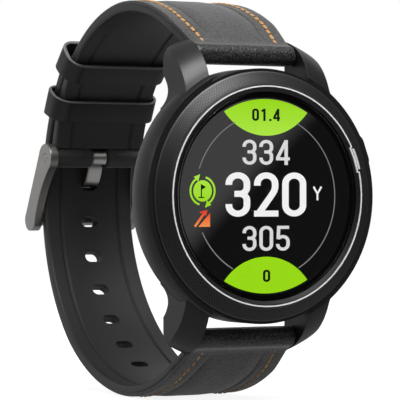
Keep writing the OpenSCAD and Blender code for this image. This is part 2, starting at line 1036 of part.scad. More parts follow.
module sliding_keeper() {
    keeper(sliding_keeper_angle);
}

// Outline of a buckle plate: a boss of radius r1 at p and an end of radius r2 at q, with a straight outer
// side and an inner side hollowed to the radius waist_r; both run just inside the two circles
waist_r = 22;
module plate_outline(p, r1, q, r2) {
    v = q - p;
    l = norm(v);
    along = v / l;
    inward = [along[1], -along[0]];
    tuck1 = r1 - fit;
    tuck2 = r2 - fit;
    x = (pow(l, 2) + pow(waist_r + tuck1, 2) - pow(waist_r + tuck2, 2)) / (2 * l);
    waist_c = p + x * along + sqrt(pow(waist_r + tuck1, 2) - pow(x, 2)) * inward;
    lean = (r1 - r2) / l;
    outward = lean * along - sqrt(1 - pow(lean, 2)) * inward;
    translate(p)
        circle(r = r1);
    translate(q)
        circle(r = r2);
    difference() {
        polygon([
            p + tuck1 * outward,
            q + tuck2 * outward,
            q + tuck2 * (waist_c - q) / norm(waist_c - q),
            p + (waist_c - p) / 2,
            p + tuck1 * (waist_c - p) / norm(waist_c - p)
        ]);
        translate(waist_c)
            circle(r = waist_r);
    }
}

module buckle_frame() {
    color("#8d8f92")
        in_side_view()
            union() {
                for (s = [0, 1])
                    mirror([0, 0, s])
                        translate([0, 0, plate_x])
                            linear_extrude(plate_t)
                                difference() {
                                    plate_outline(pin_c, boss_r, plate_end_c, plate_end_r);
                                    translate(pin_c)
                                        circle(d = pin_d + 2 * fit);
                                }
                at_side(crossbar_c)
                    cylinder(d = crossbar_d, h = 2 * plate_x + plate_t, center = true);
            }
}

module buckle_pin() {
    color("#b9bbbe")
        in_side_view()
            at_side(pin_c)
                cylinder(d = pin_d, h = 2 * (plate_x + plate_t), center = true);
}

// The tang's strip, in the loop's polar places: under the tail, out through a hole and over the crossbar
module tang_strip() {
    function polar(r, a) = loop_c + r * [cos(a), sin(a)];
    under = lower_r - strap_t - gap;
    over = lower_r + crossbar_d + 2 * gap;
    hole_half = tang_t / 2 / lower_r * 180 / PI;
    hole_in = tang_hole_angle + hole_half;
    hole_out = tang_hole_angle - hole_half;
    rest = crossbar_angle + 1.5;
    tip = crossbar_angle - 2.2;
    polygon([
        pin_c + [-0.2, -tang_roll_r],
        polar(under - tang_t, hole_out),
        polar(lower_r + 0.4, hole_out),
        polar(over, rest),
        polar(over, tip),
        polar(over + tang_t, tip),
        polar(over + tang_t, rest + 0.6),
        polar(lower_r + 0.8, hole_in),
        polar(under, hole_in),
        pin_c + [0.6, -tang_roll_r + 0.2]
    ]);
}

module buckle_tang() {
    color("#a8aaad")
        in_side_view()
            linear_extrude(tang_w, center = true)
                difference() {
                    union() {
                        translate(pin_c)
                            circle(r = tang_roll_r);
                        tang_strip();
                    }
                    translate(pin_c)
                        circle(d = pin_d + 2 * fit);
                }
}

case_body();
bezel();
trim_ring();
bezel_marker();
crystal();
crystal_gasket();
display_panel();
display_flex();
inner_frame();
main_board();
shield_can();
gps_antenna();
battery();
vibration_motor();
case_back();
back_gasket();
case_screws();
charging_contacts();
button_cap();
button_spring();
button_seal();
button_clip();
bar_tube(upper_bar);  // upper_bar_tube
bar_tube(lower_bar);  // lower_bar_tube
bar_tip(upper_bar, -1);  // upper_bar_tip_left
bar_tip(upper_bar, 1);  // upper_bar_tip_right
bar_tip(lower_bar, -1);  // lower_bar_tip_left
bar_tip(lower_bar, 1);  // lower_bar_tip_right
bar_spring(upper_bar);  // upper_bar_spring
bar_spring(lower_bar);  // lower_bar_spring
upper_strap_leather();
upper_strap_lining();
lower_strap_leather();
lower_strap_lining();
fixed_keeper();
sliding_keeper();
buckle_frame();
buckle_pin();
buckle_tang();
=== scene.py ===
import math

import bmesh
import bpy
import numpy as np
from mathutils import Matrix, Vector


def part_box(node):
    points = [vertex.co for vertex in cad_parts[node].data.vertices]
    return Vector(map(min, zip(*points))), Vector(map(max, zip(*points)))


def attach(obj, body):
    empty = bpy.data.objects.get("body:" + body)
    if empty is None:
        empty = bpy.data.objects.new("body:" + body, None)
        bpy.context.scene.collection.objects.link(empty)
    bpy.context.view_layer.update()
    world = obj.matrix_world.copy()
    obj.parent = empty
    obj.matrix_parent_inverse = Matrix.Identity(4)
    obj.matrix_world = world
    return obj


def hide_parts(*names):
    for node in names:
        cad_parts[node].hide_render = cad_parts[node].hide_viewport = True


bl_info = {
    "name": "Golf watch",
    "version": (1, 0, 0),
    "blender": (4, 5, 0),
    "location": "3D View > Sidebar > Watch",
    "description": "Strap, stitching, display and finishes of a golf GPS watch, with its studio",
    "category": "Object",
}

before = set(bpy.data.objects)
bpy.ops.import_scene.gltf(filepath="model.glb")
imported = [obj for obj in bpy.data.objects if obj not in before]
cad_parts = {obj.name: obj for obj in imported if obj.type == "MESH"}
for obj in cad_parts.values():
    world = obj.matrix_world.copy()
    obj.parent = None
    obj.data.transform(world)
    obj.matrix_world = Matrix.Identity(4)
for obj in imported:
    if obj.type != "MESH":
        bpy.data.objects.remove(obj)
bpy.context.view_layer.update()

# Lengths are in millimetres, unless said otherwise, and angles in degrees
MM = 0.001
# A full and a quarter turn in radians, and the signs of a round corner's centre in each quarter
TURN, QUARTER = 2 * math.pi, math.pi / 2
SIDE_X, SIDE_UP = np.array([1, -1, -1, 1]), np.array([1, 1, -1, -1])
# Least divisor, and slack for points on a hole's edge
TINY, ON_EDGE = 1e-9, 1e-6
# Mesh clean-up, in metres: points nearer than this join, and edges shorter than this dissolve
MERGE_DIST, DISSOLVE_DIST = 2e-6, 1e-7
# Angle past which an edge is bevelled, and past which it stays sharp on strips and on the knurl
BEVEL_ANGLE, STRIP_SHARP, KNURL_SHARP = 50, 60, 12

# Strap routes in the side view (y, z): each arc's centre, outer radius, first and last angle
UPPER_ROUTE = [(20.2, -0.64, 35.84, 133.7, 90.0), (20.2, 3.59, 31.61, 90.0, 7.0)]
LOWER_ROUTE = [(20.2, -2.05, 33.95, -137.0, -90.0), (20.2, -0.3, 35.7, -90.0, 0.0),
               (17.1, -0.3, 38.8, 0.0, 45.2)]
HALVES = {"upper": UPPER_ROUTE, "lower": LOWER_ROUTE}
# Middle of the loop, and axes of the spring bars and of the buckle's pin (y, z)
LOOP_CENTRE = (20.2, -0.3)
UPPER_BAR, LOWER_BAR, BUCKLE_PIN = (-3.85, 24.5), (-3.85, -24.5), (50.5322, 7.3143)
# The strap's half width by depth y: at the lugs, beside the case, on the keeper's path and behind the wrist
WIDTH_Y = [-2.4, 2.5, 14, 28, 43, 55.9]
WIDTH_HALF = [9.85, 10.5, 10.3, 9.86, 9.72, 9.15]
# Both layers: thickness, gap between them, corner radius of the tail, and bevel on cut edges
STRAP_T, LAYER_GAP, TAIL_CORNER, CUT_BEVEL = 2.1, 0.01, 3.5, 0.04
# Leather: thickness, inset from the lining's edge, and width of its painted rim
LEATHER_T, LEATHER_INSET, RIM_W = 0.9, 0.1, 0.04
# Its roll round a bar: radius, first and last angle, and points on the roll and on its way to the strap
ROLL_R, ROLL_FROM, ROLL_TO, ROLL_POINTS, JOIN_POINTS = 1.85, -12, -300, 34, 12
# Lengths along the strap at which the roll has joined it and at which the lining starts
TURN_IN, LINING_START = 3.6, 2.06
# Distances from a spring bar and from the pin over which the leather's look changes
ROLL_FADE, PIN_FADE = (1.9, 2.6), (2.6, 3.4)
# Fading of the leather's forms: rows on the roll, length on the strap, and shares at the bar and at the pin
FADE_ROWS, FADE_L, FADE_BAR, FADE_PIN = 8, 3, 0.4, 0.05
# Rounded edges: width and drop
LEATHER_EDGE, LINING_EDGE = (0.3, 0.12), (0.3, 0.3)
# Furrows: distance from the outline, width and depth; and the end of the groove's flank in widths
CHANNEL, CREASE, GROOVE, GROOVE_FLANK = (2.4, 0.3, 0.09), (4.5, 0.24, 0.2), (3.1, 0.22, 0.3), 1.6
# Padded middle: distance from the outline, width of its slope and height; and the depth that it rises from
PAD, FACE_SINK = (4.6, 1.6, 0.16), 0.1
# Columns of the layers by distance from their edge, and the half width and count of the even middle ones
LEATHER_INSETS = [0, 0.06, 0.15, 0.3, 0.6, 1.2, 1.75, 2.1, 2.25, 2.4, 2.55, 2.7, 3.05, 3.6, 4.05, 4.25,
                  4.4, 4.5, 4.6, 4.75, 5]
LINING_INSETS = [0, 0.06, 0.15, 0.3, 0.6, 1.2, 2, 2.55, 2.7, 2.8, 2.9, 3.1, 3.3, 3.4, 3.5, 3.65, 4.1, 4.8]
MIDDLE_HALF, MIDDLE_COUNT = 3, 25
# Rows: step on the hole half, rows round a hole and at the tail's tip, and rows of the buckle half's layers
ROW_STEP, HOLE_ROWS, TIP_ROWS, LEATHER_ROWS, LINING_ROWS = 0.7, 21, 14, 95, 100

# Adjusting holes: angles round the loop, half length and end radius, and steps in the search for them
HOLE_ANGLES, HOLE_SIZE, HOLE_SEARCH = [15.8 - 11.8 * i for i in range(8)], (1.75, 1.1), 4000
# Half width and half length of the block of cells round a hole, and the share of it that the hole takes up
BLOCK_X, BLOCK_S, HOLE_SHARE = 3.0, 2.6, 0.5
# The hole that holds the tang, its size in the leather, and the slot for the tang in the leather's roll
TANG_HOLE, TANG_HOLE_SIZE, TANG_SLOT_HALF, TANG_SLOT_L = -2, (1.6, 0.5), 1.75, 1.8

# Seams: length left free at the end, width of a stitch and depth of its middle
SEAMS = {"upper": (7.0, 0.68, 0.06), "lower": (3.6, 0.34, 0.13)}
# Start of the seams, half thickness of a stitch, and its rings and their points
SEAM_START, STITCH_HALF_T, STITCH_RINGS, STITCH_SIDES = 2.5, 0.2, 7, 6

# Keepers: angle about the dip's centre, and body
KEEPERS = {"fixed_keeper": (25.6, "upper_strap"), "sliding_keeper": (42.3, "keeper")}
# Inner radius, inner space, inner half width, thickness, length along the strap and rounding of the edges
KEEPER_IN, KEEPER_SPACE, KEEPER_HALF, KEEPER_T, KEEPER_L, KEEPER_EDGE = 28.86, 5.707, 10.25, 0.72, 4.7, 0.22
# Corner radii of a keeper on its outer and its wrist side, inside and outside
KEEPER_CORNERS = {"inside": (1.5, 2.05), "outside": (2.6, 3.3)}
# Points round a keeper and round its section, and width of the painted highlight on its upper edge and of
# the part that fades
KEEPER_POINTS, KEEPER_SECTION, KEEPER_HIGHLIGHT_W, KEEPER_HIGHLIGHT_FADE = 120, 24, 0.26, 0.14

# Tang: half width, thickness, radius of its eye's middle line, radius of its tip, and bevel
TANG_HALF, TANG_T, TANG_EYE_R, TANG_TIP_R, TANG_BEVEL = 1.5, 0.7, 1.15, 1.0, 0.12
# First and last angle of its eye, and the bends of its strip after the eye (y, z)
TANG_EYE_FROM, TANG_EYE_TO = 250, -20
TANG_BENDS = [(51.25, 5.9), (51.75, 4.4), (53.0, 2.2), (55.7, 2.2), (57.9, 1.6), (58.75, -3.0),
              (58.4, -6.15)]
# Points of the eye, of each bend, of the straight end and across the strip
TANG_EYE_POINTS, TANG_BEND_STEPS, TANG_END_POINTS, TANG_COLUMNS = 40, 8, 10, 7

# The bezel's cone, inner and outer end as radius and depth y
CONE = ((19.35, -12.35), (21.15, -11.2))
# The knurl on it: middle radius, height of a point, lift over the cone and root in it
KNURL_R, KNURL_HEIGHT, KNURL_LIFT, KNURL_ROOT = 20.3, 0.04, 0.004, 0.06
# Radii between which the knurl's tone, a painted highlight on its points, comes and goes, and the painted
# highlight line at its foot comes
KNURL_INNER, KNURL_OUTER, FOOT_HIGHLIGHT = (19.37, 19.45), (21.12, 21.04), (21.18, 21.26)

# Depths y of the display's picture, its dark letters and the picture's back, behind the glass
PICTURE_Y, LETTER_Y, PICTURE_BACK_Y = -11.30, -11.325, -11.265
# The display ground's fade, a painted reflection given off as glow: how much the way right takes off the way
# up, and its dark and its light end
REFLECTION_SLANT, REFLECTION_FADE = 0.96, (2.3, 9.8)
# Pitch of the picture elements, how much heavier stems are than bars, and the lift between crossing strokes
ELEMENT_PITCH, STEM, STROKE_LIFT = 0.12, 1.25, 0.001
# Numbers: finish, text, centre x and z, a digit's width and height, stroke and space between digits
NUMBERS = {
    "number_main": ("white", "320", 0.05, 0.3, 4.85, 7.55, 1.03, 0.78),
    "number_far": ("grey", "334", 0.05, 7.5, 2.74, 4.26, 0.53, 0.6),
    "number_near": ("grey", "305", 0.05, -7.2, 2.74, 4.26, 0.53, 0.6),
    "hole_number": ("dark", "01.4", 0.0, 13.9, 1.35, 2.1, 0.36, 0.35),
    "shot_number": ("dark", "0", 0.1, -13.6, 1.45, 2.1, 0.38, 0.3),
}
# Marks as strokes: finish, then each stroke's points (x, z), and one width or a width at each end
MARKS = {
    "unit_mark": ("white", ([(9.6, 1.65), (10.4, 0.42)], 0.34), ([(11.2, 1.65), (10.4, 0.42)], 0.34),
                  ([(10.4, 0.52), (10.4, -0.7)], 0.34)),
    "symbol_flag": ("dark", ([(-12.75, -0.25), (-12.75, 2.0)], 0.22), ([(-13.3, -0.2), (-12.2, -0.2)], 0.2),
                    ([(-12.75, 1.55), (-11.9, 1.55)], (0.95, 0.05))),
    "slope_arrow": ("slope", ([(-14.0, -5.1), (-12.0, -2.65)], 0.4),
                    ([(-13.0, -2.75), (-11.75, -2.5), (-11.95, -3.2)], 0.25)),
}
# Dial line: radius, width, and each stretch's first and last angle and points
DIAL_R, DIAL_T, DIAL_STRETCHES = 13.95, 0.17, [(-62, 64, 100), (116, 160.5, 40), (206, 242, 40)]
# Round symbol: centre, and its disc's radius, small middle hole, points and rings
SYMBOL, DISC_R, DISC_HOLE, DISC_POINTS, DISC_RINGS = (-12.5, 0.9), 1.8, 0.02, 48, 5
# Its two arcs: radius, width, first angles, span and points; and their arrowheads' points and end widths
ARC_R, ARC_T, ARC_STARTS, ARC_SPAN, ARC_POINTS = 2.35, 0.34, (75, 255), 132, 30
ARROW_POINTS, ARROW_T = 6, (1.15, 0.05)
# Slope wedge: tip, width and height, the share at which it starts, and points to a side
WEDGE_TIP, WEDGE_SIZE, WEDGE_START, WEDGE_POINTS = (-13.3, -5.15), (2.25, 2.3), 0.02, 6
# Segments: half width, radius of the display's edge and of the inner arc, inner end of the grade, and points
SEGMENT_HALF, LIT_R, SEGMENT_ARC_R, SEGMENT_GRADE = 8.3, 16.6, 10.55, 10
SEGMENT_COLUMNS, SEGMENT_ROWS = 61, 9

# Plain finishes: colour, grain size, roughness, grain depth, spread of tone, metal share, and nodes
CASE_FINISHES = {
    "marker_white": ("d8d8d8", 0.2, 0.4, 0.006, 0.05, 0.0, ["bezel_marker"]),
    "back_grey": ("3c3d40", 0.2, 0.38, 0.01, 0.15, 0.0, ["case_back"]),
    "seal_rubber": ("1b1b1d", 0.2, 0.6, 0.01, 0.2, 0.0, ["crystal_gasket", "back_gasket", "button_seal"]),
}
SPRING_BAR = ["bar_tube", "bar_tip_left", "bar_tip_right", "bar_spring"]
INNER_FINISHES = {
    "flex_amber": ("b5772c", 0.4, 0.35, 0.005, 0.15, 0.0, ["display_flex"]),
    "frame_grey": ("4a4b50", 0.3, 0.5, 0.01, 0.12, 0.0, ["inner_frame"]),
    "tin_plate": ("b9bcc0", 0.5, 0.28, 0.006, 0.1, 1.0, ["shield_can", "vibration_motor"]),
    "antenna_copper": ("c9a25a", 0.4, 0.32, 0.006, 0.12, 1.0, ["gps_antenna"]),
    "cell_foil": ("8f9499", 1.2, 0.35, 0.03, 0.1, 0.6, ["battery"]),
    "screw_steel": ("9da1a6", 0.2, 0.3, 0.006, 0.1, 1.0, ["case_screws"]),
    "contact_gold": ("d8b45a", 0.2, 0.22, 0.004, 0.08, 1.0, ["charging_contacts"]),
    "spring_steel": ("c4c7cb", 0.25, 0.28, 0.005, 0.1, 1.0, [
        "button_spring", "button_clip", *("upper_" + part for part in SPRING_BAR),
        *("lower_" + part for part in SPRING_BAR)]),
}

# Lights, in metres: the setting with their power, place, target, size, and whether reflections show them
LIGHTS = {
    "key_light": ("key", (0.0, -0.30, 0.52), (0, 0.005, 0), 0.29, True),
    "fill_light": ("fill", (0.55, -0.35, 0.18), (0, 0.01, 0), 0.5, False),
    "left_light": ("left", (-0.46, 0.02, 0.24), (0, 0.03, 0.01), 0.16, True),
}
# Overhead card in reflections: direction, and cosines to it at which the card begins and is full
OVERHEAD_CARD = ((0, -0.3, 0.95), 0.4, 0.9)
# The other cards, each with its level too
OTHER_CARDS = [((-0.52, 0.85, 0.1), 0.6, 0.95, 0.5), ((0.5, 0.8, 0.33), 0.6, 0.95, 0.6),
               ((0, 0, -1), 0.08, 0.6, 0.3)]
# Level of reflections between the cards
MIRRORED_GROUND = 0.05
# Camera, in metres: place, right-hand direction, the dial's front, and the aim's shift right and up from it
CAMERA_PLACE, CAMERA_RIGHT, DIAL_FRONT = (-0.23446, -0.39690, 0), (0.8536, -0.5210, 0), (0, -0.0128, 0)
AIM_RIGHT, AIM_UP = -0.011816, -0.00064
# Width of the sensor, and clipping distances in metres
SENSOR, CLIP_START, CLIP_END = 36, 0.01, 20
# Floor, in metres: half side, gap under the watch, points to a side, and its glow for the camera
FLOOR_HALF, FLOOR_GAP, FLOOR_POINTS, FLOOR_GLOW = 1.2, 0.00005, 5, 0.88


def shade(code):
    """Linear colour of a six-digit display colour."""
    values = np.array([int(code[i:i + 2], 16) for i in (0, 2, 4)]) / 255
    return tuple(np.where(values <= 0.04045, values / 12.92, ((values + 0.055) / 1.055) ** 2.4))


def colour_prop(name, description, code):
    """A colour setting."""
    return bpy.props.FloatVectorProperty(name=name, description=description, subtype="COLOR", size=3,
                                         min=0, max=1, default=shade(code))


def length_prop(name, description, default):
    """A length setting, given in millimetres and kept in metres."""
    return bpy.props.FloatProperty(name=name, description=description, subtype="DISTANCE", unit="LENGTH",
                                   default=default * MM, min=0, precision=5)


def power_prop(name, description, default):
    """A light's power."""
    return bpy.props.FloatProperty(name=name, description=description, unit="POWER", default=default, min=0)


def level_prop(name, description, default):
    """A share of full white."""
    return bpy.props.FloatProperty(name=name, description=description, subtype="FACTOR", default=default,
                                   min=0, max=1)


class StrapSettings(bpy.types.PropertyGroup):
    """Colours and seam of the strap"""
    leather: colour_prop("Leather", "Dyed leather of the strap's outer side", "494949")
    leather_pore: colour_prop("Leather pores", "Darker colour in the grain of the leather", "303030")
    lining: colour_prop("Lining", "Silicone of the strap's wrist side", "2e2e2f")
    keeper: colour_prop("Keepers", "Rubber of the two keepers", "18181a")
    keeper_painted_highlight: colour_prop("Keeper edge", "Rubbed upper edge of the keepers", "707070")
    # Colour of the painted highlight along the keepers' upper edge
    thread: colour_prop("Thread", "Sewing thread", "d9a566")
    stitch_pitch: length_prop("Stitch pitch", "Distance from stitch to stitch", 1.7)
    stitch_length: length_prop("Stitch length", "Visible length of one stitch", 1.4)
    stitch_inset: length_prop("Stitch inset", "Distance of the seam from the strap's edge", 2.5)
    grain: length_prop("Leather grain", "Size of one cell of the leather's grain", 0.5)


class CaseSettings(bpy.types.PropertyGroup):
    """Colours of the case and its knurl"""
    case: colour_prop("Case", "Blasted and coated case", "1a1a1b")
    bezel: colour_prop("Bezel", "Bezel and its knurled cone", "19191a")
    # Even near-white of the trim ring: partly its light metal and partly a painted reflection that keeps it
    # bright all round
    trim: colour_prop("Trim ring", "Bright ring round the glass", "fafafa")
    steel: colour_prop("Buckle", "Blasted steel of the buckle", "aeaca9")
    knurl_pitch: length_prop("Knurl pitch", "Distance between the knurl's points", 0.37)


class DisplaySettings(bpy.types.PropertyGroup):
    """Colours of the display's picture"""
    lime: colour_prop("Lime", "Segments and symbol", "9fe312")
    lime_light: colour_prop("Light lime", "Lit side of the upper segment", "b6f24a")
    digits: colour_prop("Large digits", "Main number", "ffffff")
    small_digits: colour_prop("Small digits", "Upper and lower number", "e6e6e6")
    line: colour_prop("Fine lines", "Ring on the display", "8a8a8c")
    slope: colour_prop("Slope mark", "Slope wedge and arrow at the top", "f6482c")
    slope_light: colour_prop("Light slope mark", "Slope wedge and arrow at the foot", "ff9a52")
    # Light and dark end of the painted reflection that the display ground gives off as glow
    ground: colour_prop("Ground", "Display ground at the upper left", "3e3e3e")
    ground_dark: colour_prop("Dark ground", "Display ground at the lower right", "050505")


class StageSettings(bpy.types.PropertyGroup):
    """Floor, lights and lens of the studio"""
    floor: colour_prop("Floor", "Pale studio floor", "a8a8a8")
    key: power_prop("Key light", "Power of the large light above in front", 3.2)
    fill: power_prop("Fill light", "Power of the soft light on the right", 0.35)
    left: power_prop("Left light", "Power of the small light on the left", 0.5)
    ambient: level_prop("Ambient", "Level of the room's diffuse light", 0.31)
    card: level_prop("Card", "Level of the overhead card in reflections", 0.5)
    lens: bpy.props.FloatProperty(name="Lens", description="Focal length in millimetres on a 36 mm sensor",
                                  unit="CAMERA", default=237.5, min=1)


def smooth(x):
    """Smoothstep of x held between 0 and 1."""
    x = np.clip(x, 0, 1)
    return x * x * (3 - 2 * x)


def corner_trim(left, radius):
    """How far a quarter-round corner lies inside the full width, by the length left to the end."""
    return radius - np.sqrt(np.maximum(radius**2 - np.maximum(radius - left, 0) ** 2, 0))


def along(route, s):
    """Outer curve of a strap route at lengths s: point, outward normal and direction of travel.

    Each arc turns from its first angle by the length travelled on it divided by its radius.
    """
    s = np.asarray(s, float)
    cy, cz, r, a0, a1 = np.array(route).T
    turn = np.sign(a1 - a0)
    length = r * np.radians(np.abs(a1 - a0))
    start = np.concatenate(([0.0], np.cumsum(length)[:-1]))
    k = np.clip(np.searchsorted(start, s, side="right") - 1, 0, len(r) - 1)
    a = np.radians(a0[k]) + turn[k] * (s - start[k]) / r[k]
    normal = np.stack((np.cos(a), np.sin(a)), -1)
    point = np.stack((cy[k], cz[k]), -1) + r[k][..., None] * normal
    travel = turn[k][..., None] * np.stack((-np.sin(a), np.cos(a)), -1)
    return point, normal, travel


def route_length(route):
    """Length of a strap route."""
    return sum(r * math.radians(abs(a1 - a0)) for _, _, r, a0, a1 in route)


def half_width(y):
    """The strap's half width at depth y, straight between the given places."""
    return np.interp(y, WIDTH_Y, WIDTH_HALF)


def wrapped_end(centre, t, h, join, join_travel):
    """Outer curve of leather turned round a bar: a circle from the tucked end over the bar, then a cubic
    that leaves the circle along its tangent and meets the strap along its own."""
    phi = np.radians(np.linspace(ROLL_FROM, ROLL_TO, ROLL_POINTS))[:, None]
    circle = np.array(centre) + ROLL_R * (np.cos(phi) * t + np.sin(phi) * h)
    out = np.sin(phi[-1]) * t - np.cos(phi[-1]) * h
    u = np.linspace(0, 1, JOIN_POINTS)[1:-1, None]
    reach = np.linalg.norm(join - circle[-1])
    cubic = ((2 * u**3 - 3 * u**2 + 1) * circle[-1] + (u**3 - 2 * u**2 + u) * reach * out
             + (3 * u**2 - 2 * u**3) * join + (u**3 - u**2) * reach * join_travel)
    return np.concatenate((circle, cubic))


def bar_turn(route, centre, at_end):
    """Curve of the leather turned round a bar or pin at one end of a route."""
    total = route_length(route)
    s_bar, s_join = (total, total - TURN_IN) if at_end else (0.0, TURN_IN)
    sign = -1 if at_end else 1
    _, h, t = along(route, np.array([s_bar]))
    join, _, join_travel = along(route, np.array([s_join]))
    curve = wrapped_end(centre, sign * t[0], h[0], join[0], sign * join_travel[0])
    return curve[::-1] if at_end else curve


def curve_normals(points, side):
    """Normals of a plane curve, to the left of its travel for side 1 and to the right for -1."""
    chord = np.concatenate(([0.0], np.cumsum(np.linalg.norm(np.diff(points, axis=0), axis=1))))
    travel = np.gradient(points, chord, axis=0)
    travel /= np.linalg.norm(travel, axis=1, keepdims=True)
    return side * np.stack((-travel[:, 1], travel[:, 0]), -1)


def hole_places():
    """Lengths along the lower route at which the adjusting holes lie."""
    s = np.linspace(0, route_length(LOWER_ROUTE), HOLE_SEARCH)
    point = along(LOWER_ROUTE, s)[0] - np.array(LOOP_CENTRE)
    angle = np.degrees(np.arctan2(point[:, 1], point[:, 0]))
    return np.sort(np.interp(HOLE_ANGLES, angle, s))


def even_rows(first, last):
    """Lengths from first to last in even steps of about ROW_STEP."""
    return np.linspace(first, last, max(2, int(round((last - first) / ROW_STEP)) + 1))


def layer_rows(route, start, inset, count):
    """Lengths of a layer's rows: even on the buckle half; on the hole half with a fine block round each
    hole, and closing up along the tail's round corners by a cosine."""
    total = route_length(route)
    if route is UPPER_ROUTE:
        return np.linspace(start, total - start, count)
    tip = total - inset - TAIL_CORNER * (1 - np.cos(np.linspace(QUARTER, 0, TIP_ROWS)))
    rows, mark = [], start
    for hole in hole_places():
        low, high = hole - BLOCK_S, hole + BLOCK_S
        rows += [even_rows(mark, low)[:-1], np.linspace(low, high, HOLE_ROWS)[:-1]]
        mark = high
    return np.concatenate(rows + [even_rows(mark, tip[0]), tip[1:]])


def hole_warp(x, s, holes, sizes):
    """Moves grid points so that a square of cells round each hole becomes the hole's obround edge.

    A point is measured by its larger coordinate in the block; half way out it lies on the obround, at the
    edge of the block it stays, and between it moves evenly along its ray.
    """
    nearest = np.abs(s[..., None] - holes).argmin(-1)
    hole, half_l, end_r = holes[nearest], sizes[nearest, 0], sizes[nearest, 1]
    u, v = x / BLOCK_X, (s - hole) / BLOCK_S
    q = np.maximum(np.maximum(np.abs(u), np.abs(v)), TINY)
    a = np.arctan2(v, u)
    straight = half_l - end_r
    c, d = np.abs(np.cos(a)), np.abs(np.sin(a))
    on_side = c * end_r <= straight * d
    ray = np.where(on_side, end_r / np.maximum(d, TINY),
                   straight * c + np.sqrt(np.maximum(end_r**2 - (straight * d) ** 2, 0)))
    edge_x, edge_s = ray * np.cos(a), ray * np.sin(a)
    outer = np.clip((q - HOLE_SHARE) / (1 - HOLE_SHARE), 0, 1)
    inner = np.clip(q / HOLE_SHARE, 0, 1)
    moved_x = inner * edge_x + outer * (u / q * BLOCK_X - edge_x)
    moved_s = inner * edge_s + outer * (v / q * BLOCK_S - edge_s)
    inside = q < 1 - TINY
    return np.where(inside, moved_x, x), np.where(inside, hole + moved_s, s), q


def cell_quads(index):
    """The four corners of each cell of a grid of point numbers."""
    return np.stack((index[:-1, :-1], index[1:, :-1], index[1:, 1:], index[:-1, 1:]), -1)


def sheet_faces(n, m, keep, ring):
    """Quads of a thick sheet on an n by m grid: front, back, and walls wherever a kept cell has no
    neighbour. Cells lie between rows and columns; with ring the last row joins the first."""
    index = np.arange(n * m).reshape(n, m)
    if ring:
        index = np.concatenate((index, index[:1]))
    back = n * m
    front = cell_quads(index)[keep]
    along_rows = np.concatenate((keep[-1:], keep, keep[:1])) if ring else np.pad(keep, ((1, 1), (0, 0)))
    edge = along_rows[:-1] != along_rows[1:]
    if ring:
        edge[-1] = False
    rows = np.stack((index[:, :-1], index[:, 1:], index[:, 1:] + back, index[:, :-1] + back), -1)[edge]
    across = np.pad(keep, ((0, 0), (1, 1)))
    edge = across[:, :-1] != across[:, 1:]
    columns = np.stack((index[:-1], index[1:], index[1:] + back, index[:-1] + back), -1)[edge]
    return np.concatenate((front, front[:, ::-1] + back, rows, columns))


def make_piece(name, points, faces, body, material, slot, bevel=0.0, sharp=40.0, rim=None):
    """A mesh object from points in millimetres and quads: joins coincident points, points faces outwards,
    rounds the sharp edges if asked, carries a rim value per point if given, and rides on its body."""
    used, faces = np.unique(faces, return_inverse=True)
    mesh = bpy.data.meshes.new(name)
    mesh.from_pydata((points[used] * MM).tolist(), [], faces.reshape(-1, 4).tolist())
    if rim is not None:
        mesh.attributes.new("rim", "FLOAT", "POINT").data.foreach_set("value", rim[used].astype(np.float32))
    work = bmesh.new()
    work.from_mesh(mesh)
    bmesh.ops.remove_doubles(work, verts=work.verts, dist=MERGE_DIST)
    bmesh.ops.dissolve_degenerate(work, edges=work.edges, dist=DISSOLVE_DIST)
    bmesh.ops.recalc_face_normals(work, faces=work.faces)
    if bevel:
        steep = math.radians(BEVEL_ANGLE)
        edges = [e for e in work.edges if len(e.link_faces) == 2 and e.calc_face_angle(0) > steep]
        bmesh.ops.bevel(work, geom=edges, offset=bevel * MM, segments=2, profile=0.5, affect="EDGES",
                        clamp_overlap=True)
    work.to_mesh(mesh)
    work.free()
    mesh.polygons.foreach_set("use_smooth", np.ones(len(mesh.polygons), bool))
    mesh.set_sharp_from_angle(angle=math.radians(sharp))
    mesh.materials.append(material)
    piece = bpy.data.objects.new(name, mesh)
    bpy.context.scene.collection.objects.link(piece)
    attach(piece, body)
    return piece


def sheet_piece(name, front, back, body, material, slot, keep=None, ring=False, rim=None, **edges):
    """A thick sheet between two grids of points."""
    n, m = front.shape[:2]
    if keep is None:
        keep = np.ones((n if ring else n - 1, m - 1), bool)
    points = np.concatenate((front.reshape(-1, 3), back.reshape(-1, 3)))
    rims = None if rim is None else np.concatenate((rim.ravel(), np.ones(n * m)))
    return make_piece(name, points, sheet_faces(n, m, keep, ring), body, material, slot, rim=rims, **edges)


def loop_faces(n, m):
    """Quads of a grid that closes on itself both ways."""
    index = np.arange(n * m).reshape(n, m)
    right, up = np.roll(index, -1, 1), np.roll(index, -1, 0)
    return np.stack((index, up, np.roll(up, -1, 1), right), -1).reshape(-1, 4)


def columns_across(half, insets):
    """Columns of the strap's grid: fixed insets from both edges and an even middle."""
    half = np.asarray(half)[:, None]
    edge = half - np.array(insets)
    middle = np.linspace(-MIDDLE_HALF, MIDDLE_HALF, MIDDLE_COUNT)
    return np.concatenate((-edge, np.broadcast_to(middle, (len(half), MIDDLE_COUNT)), edge[:, ::-1]), 1)


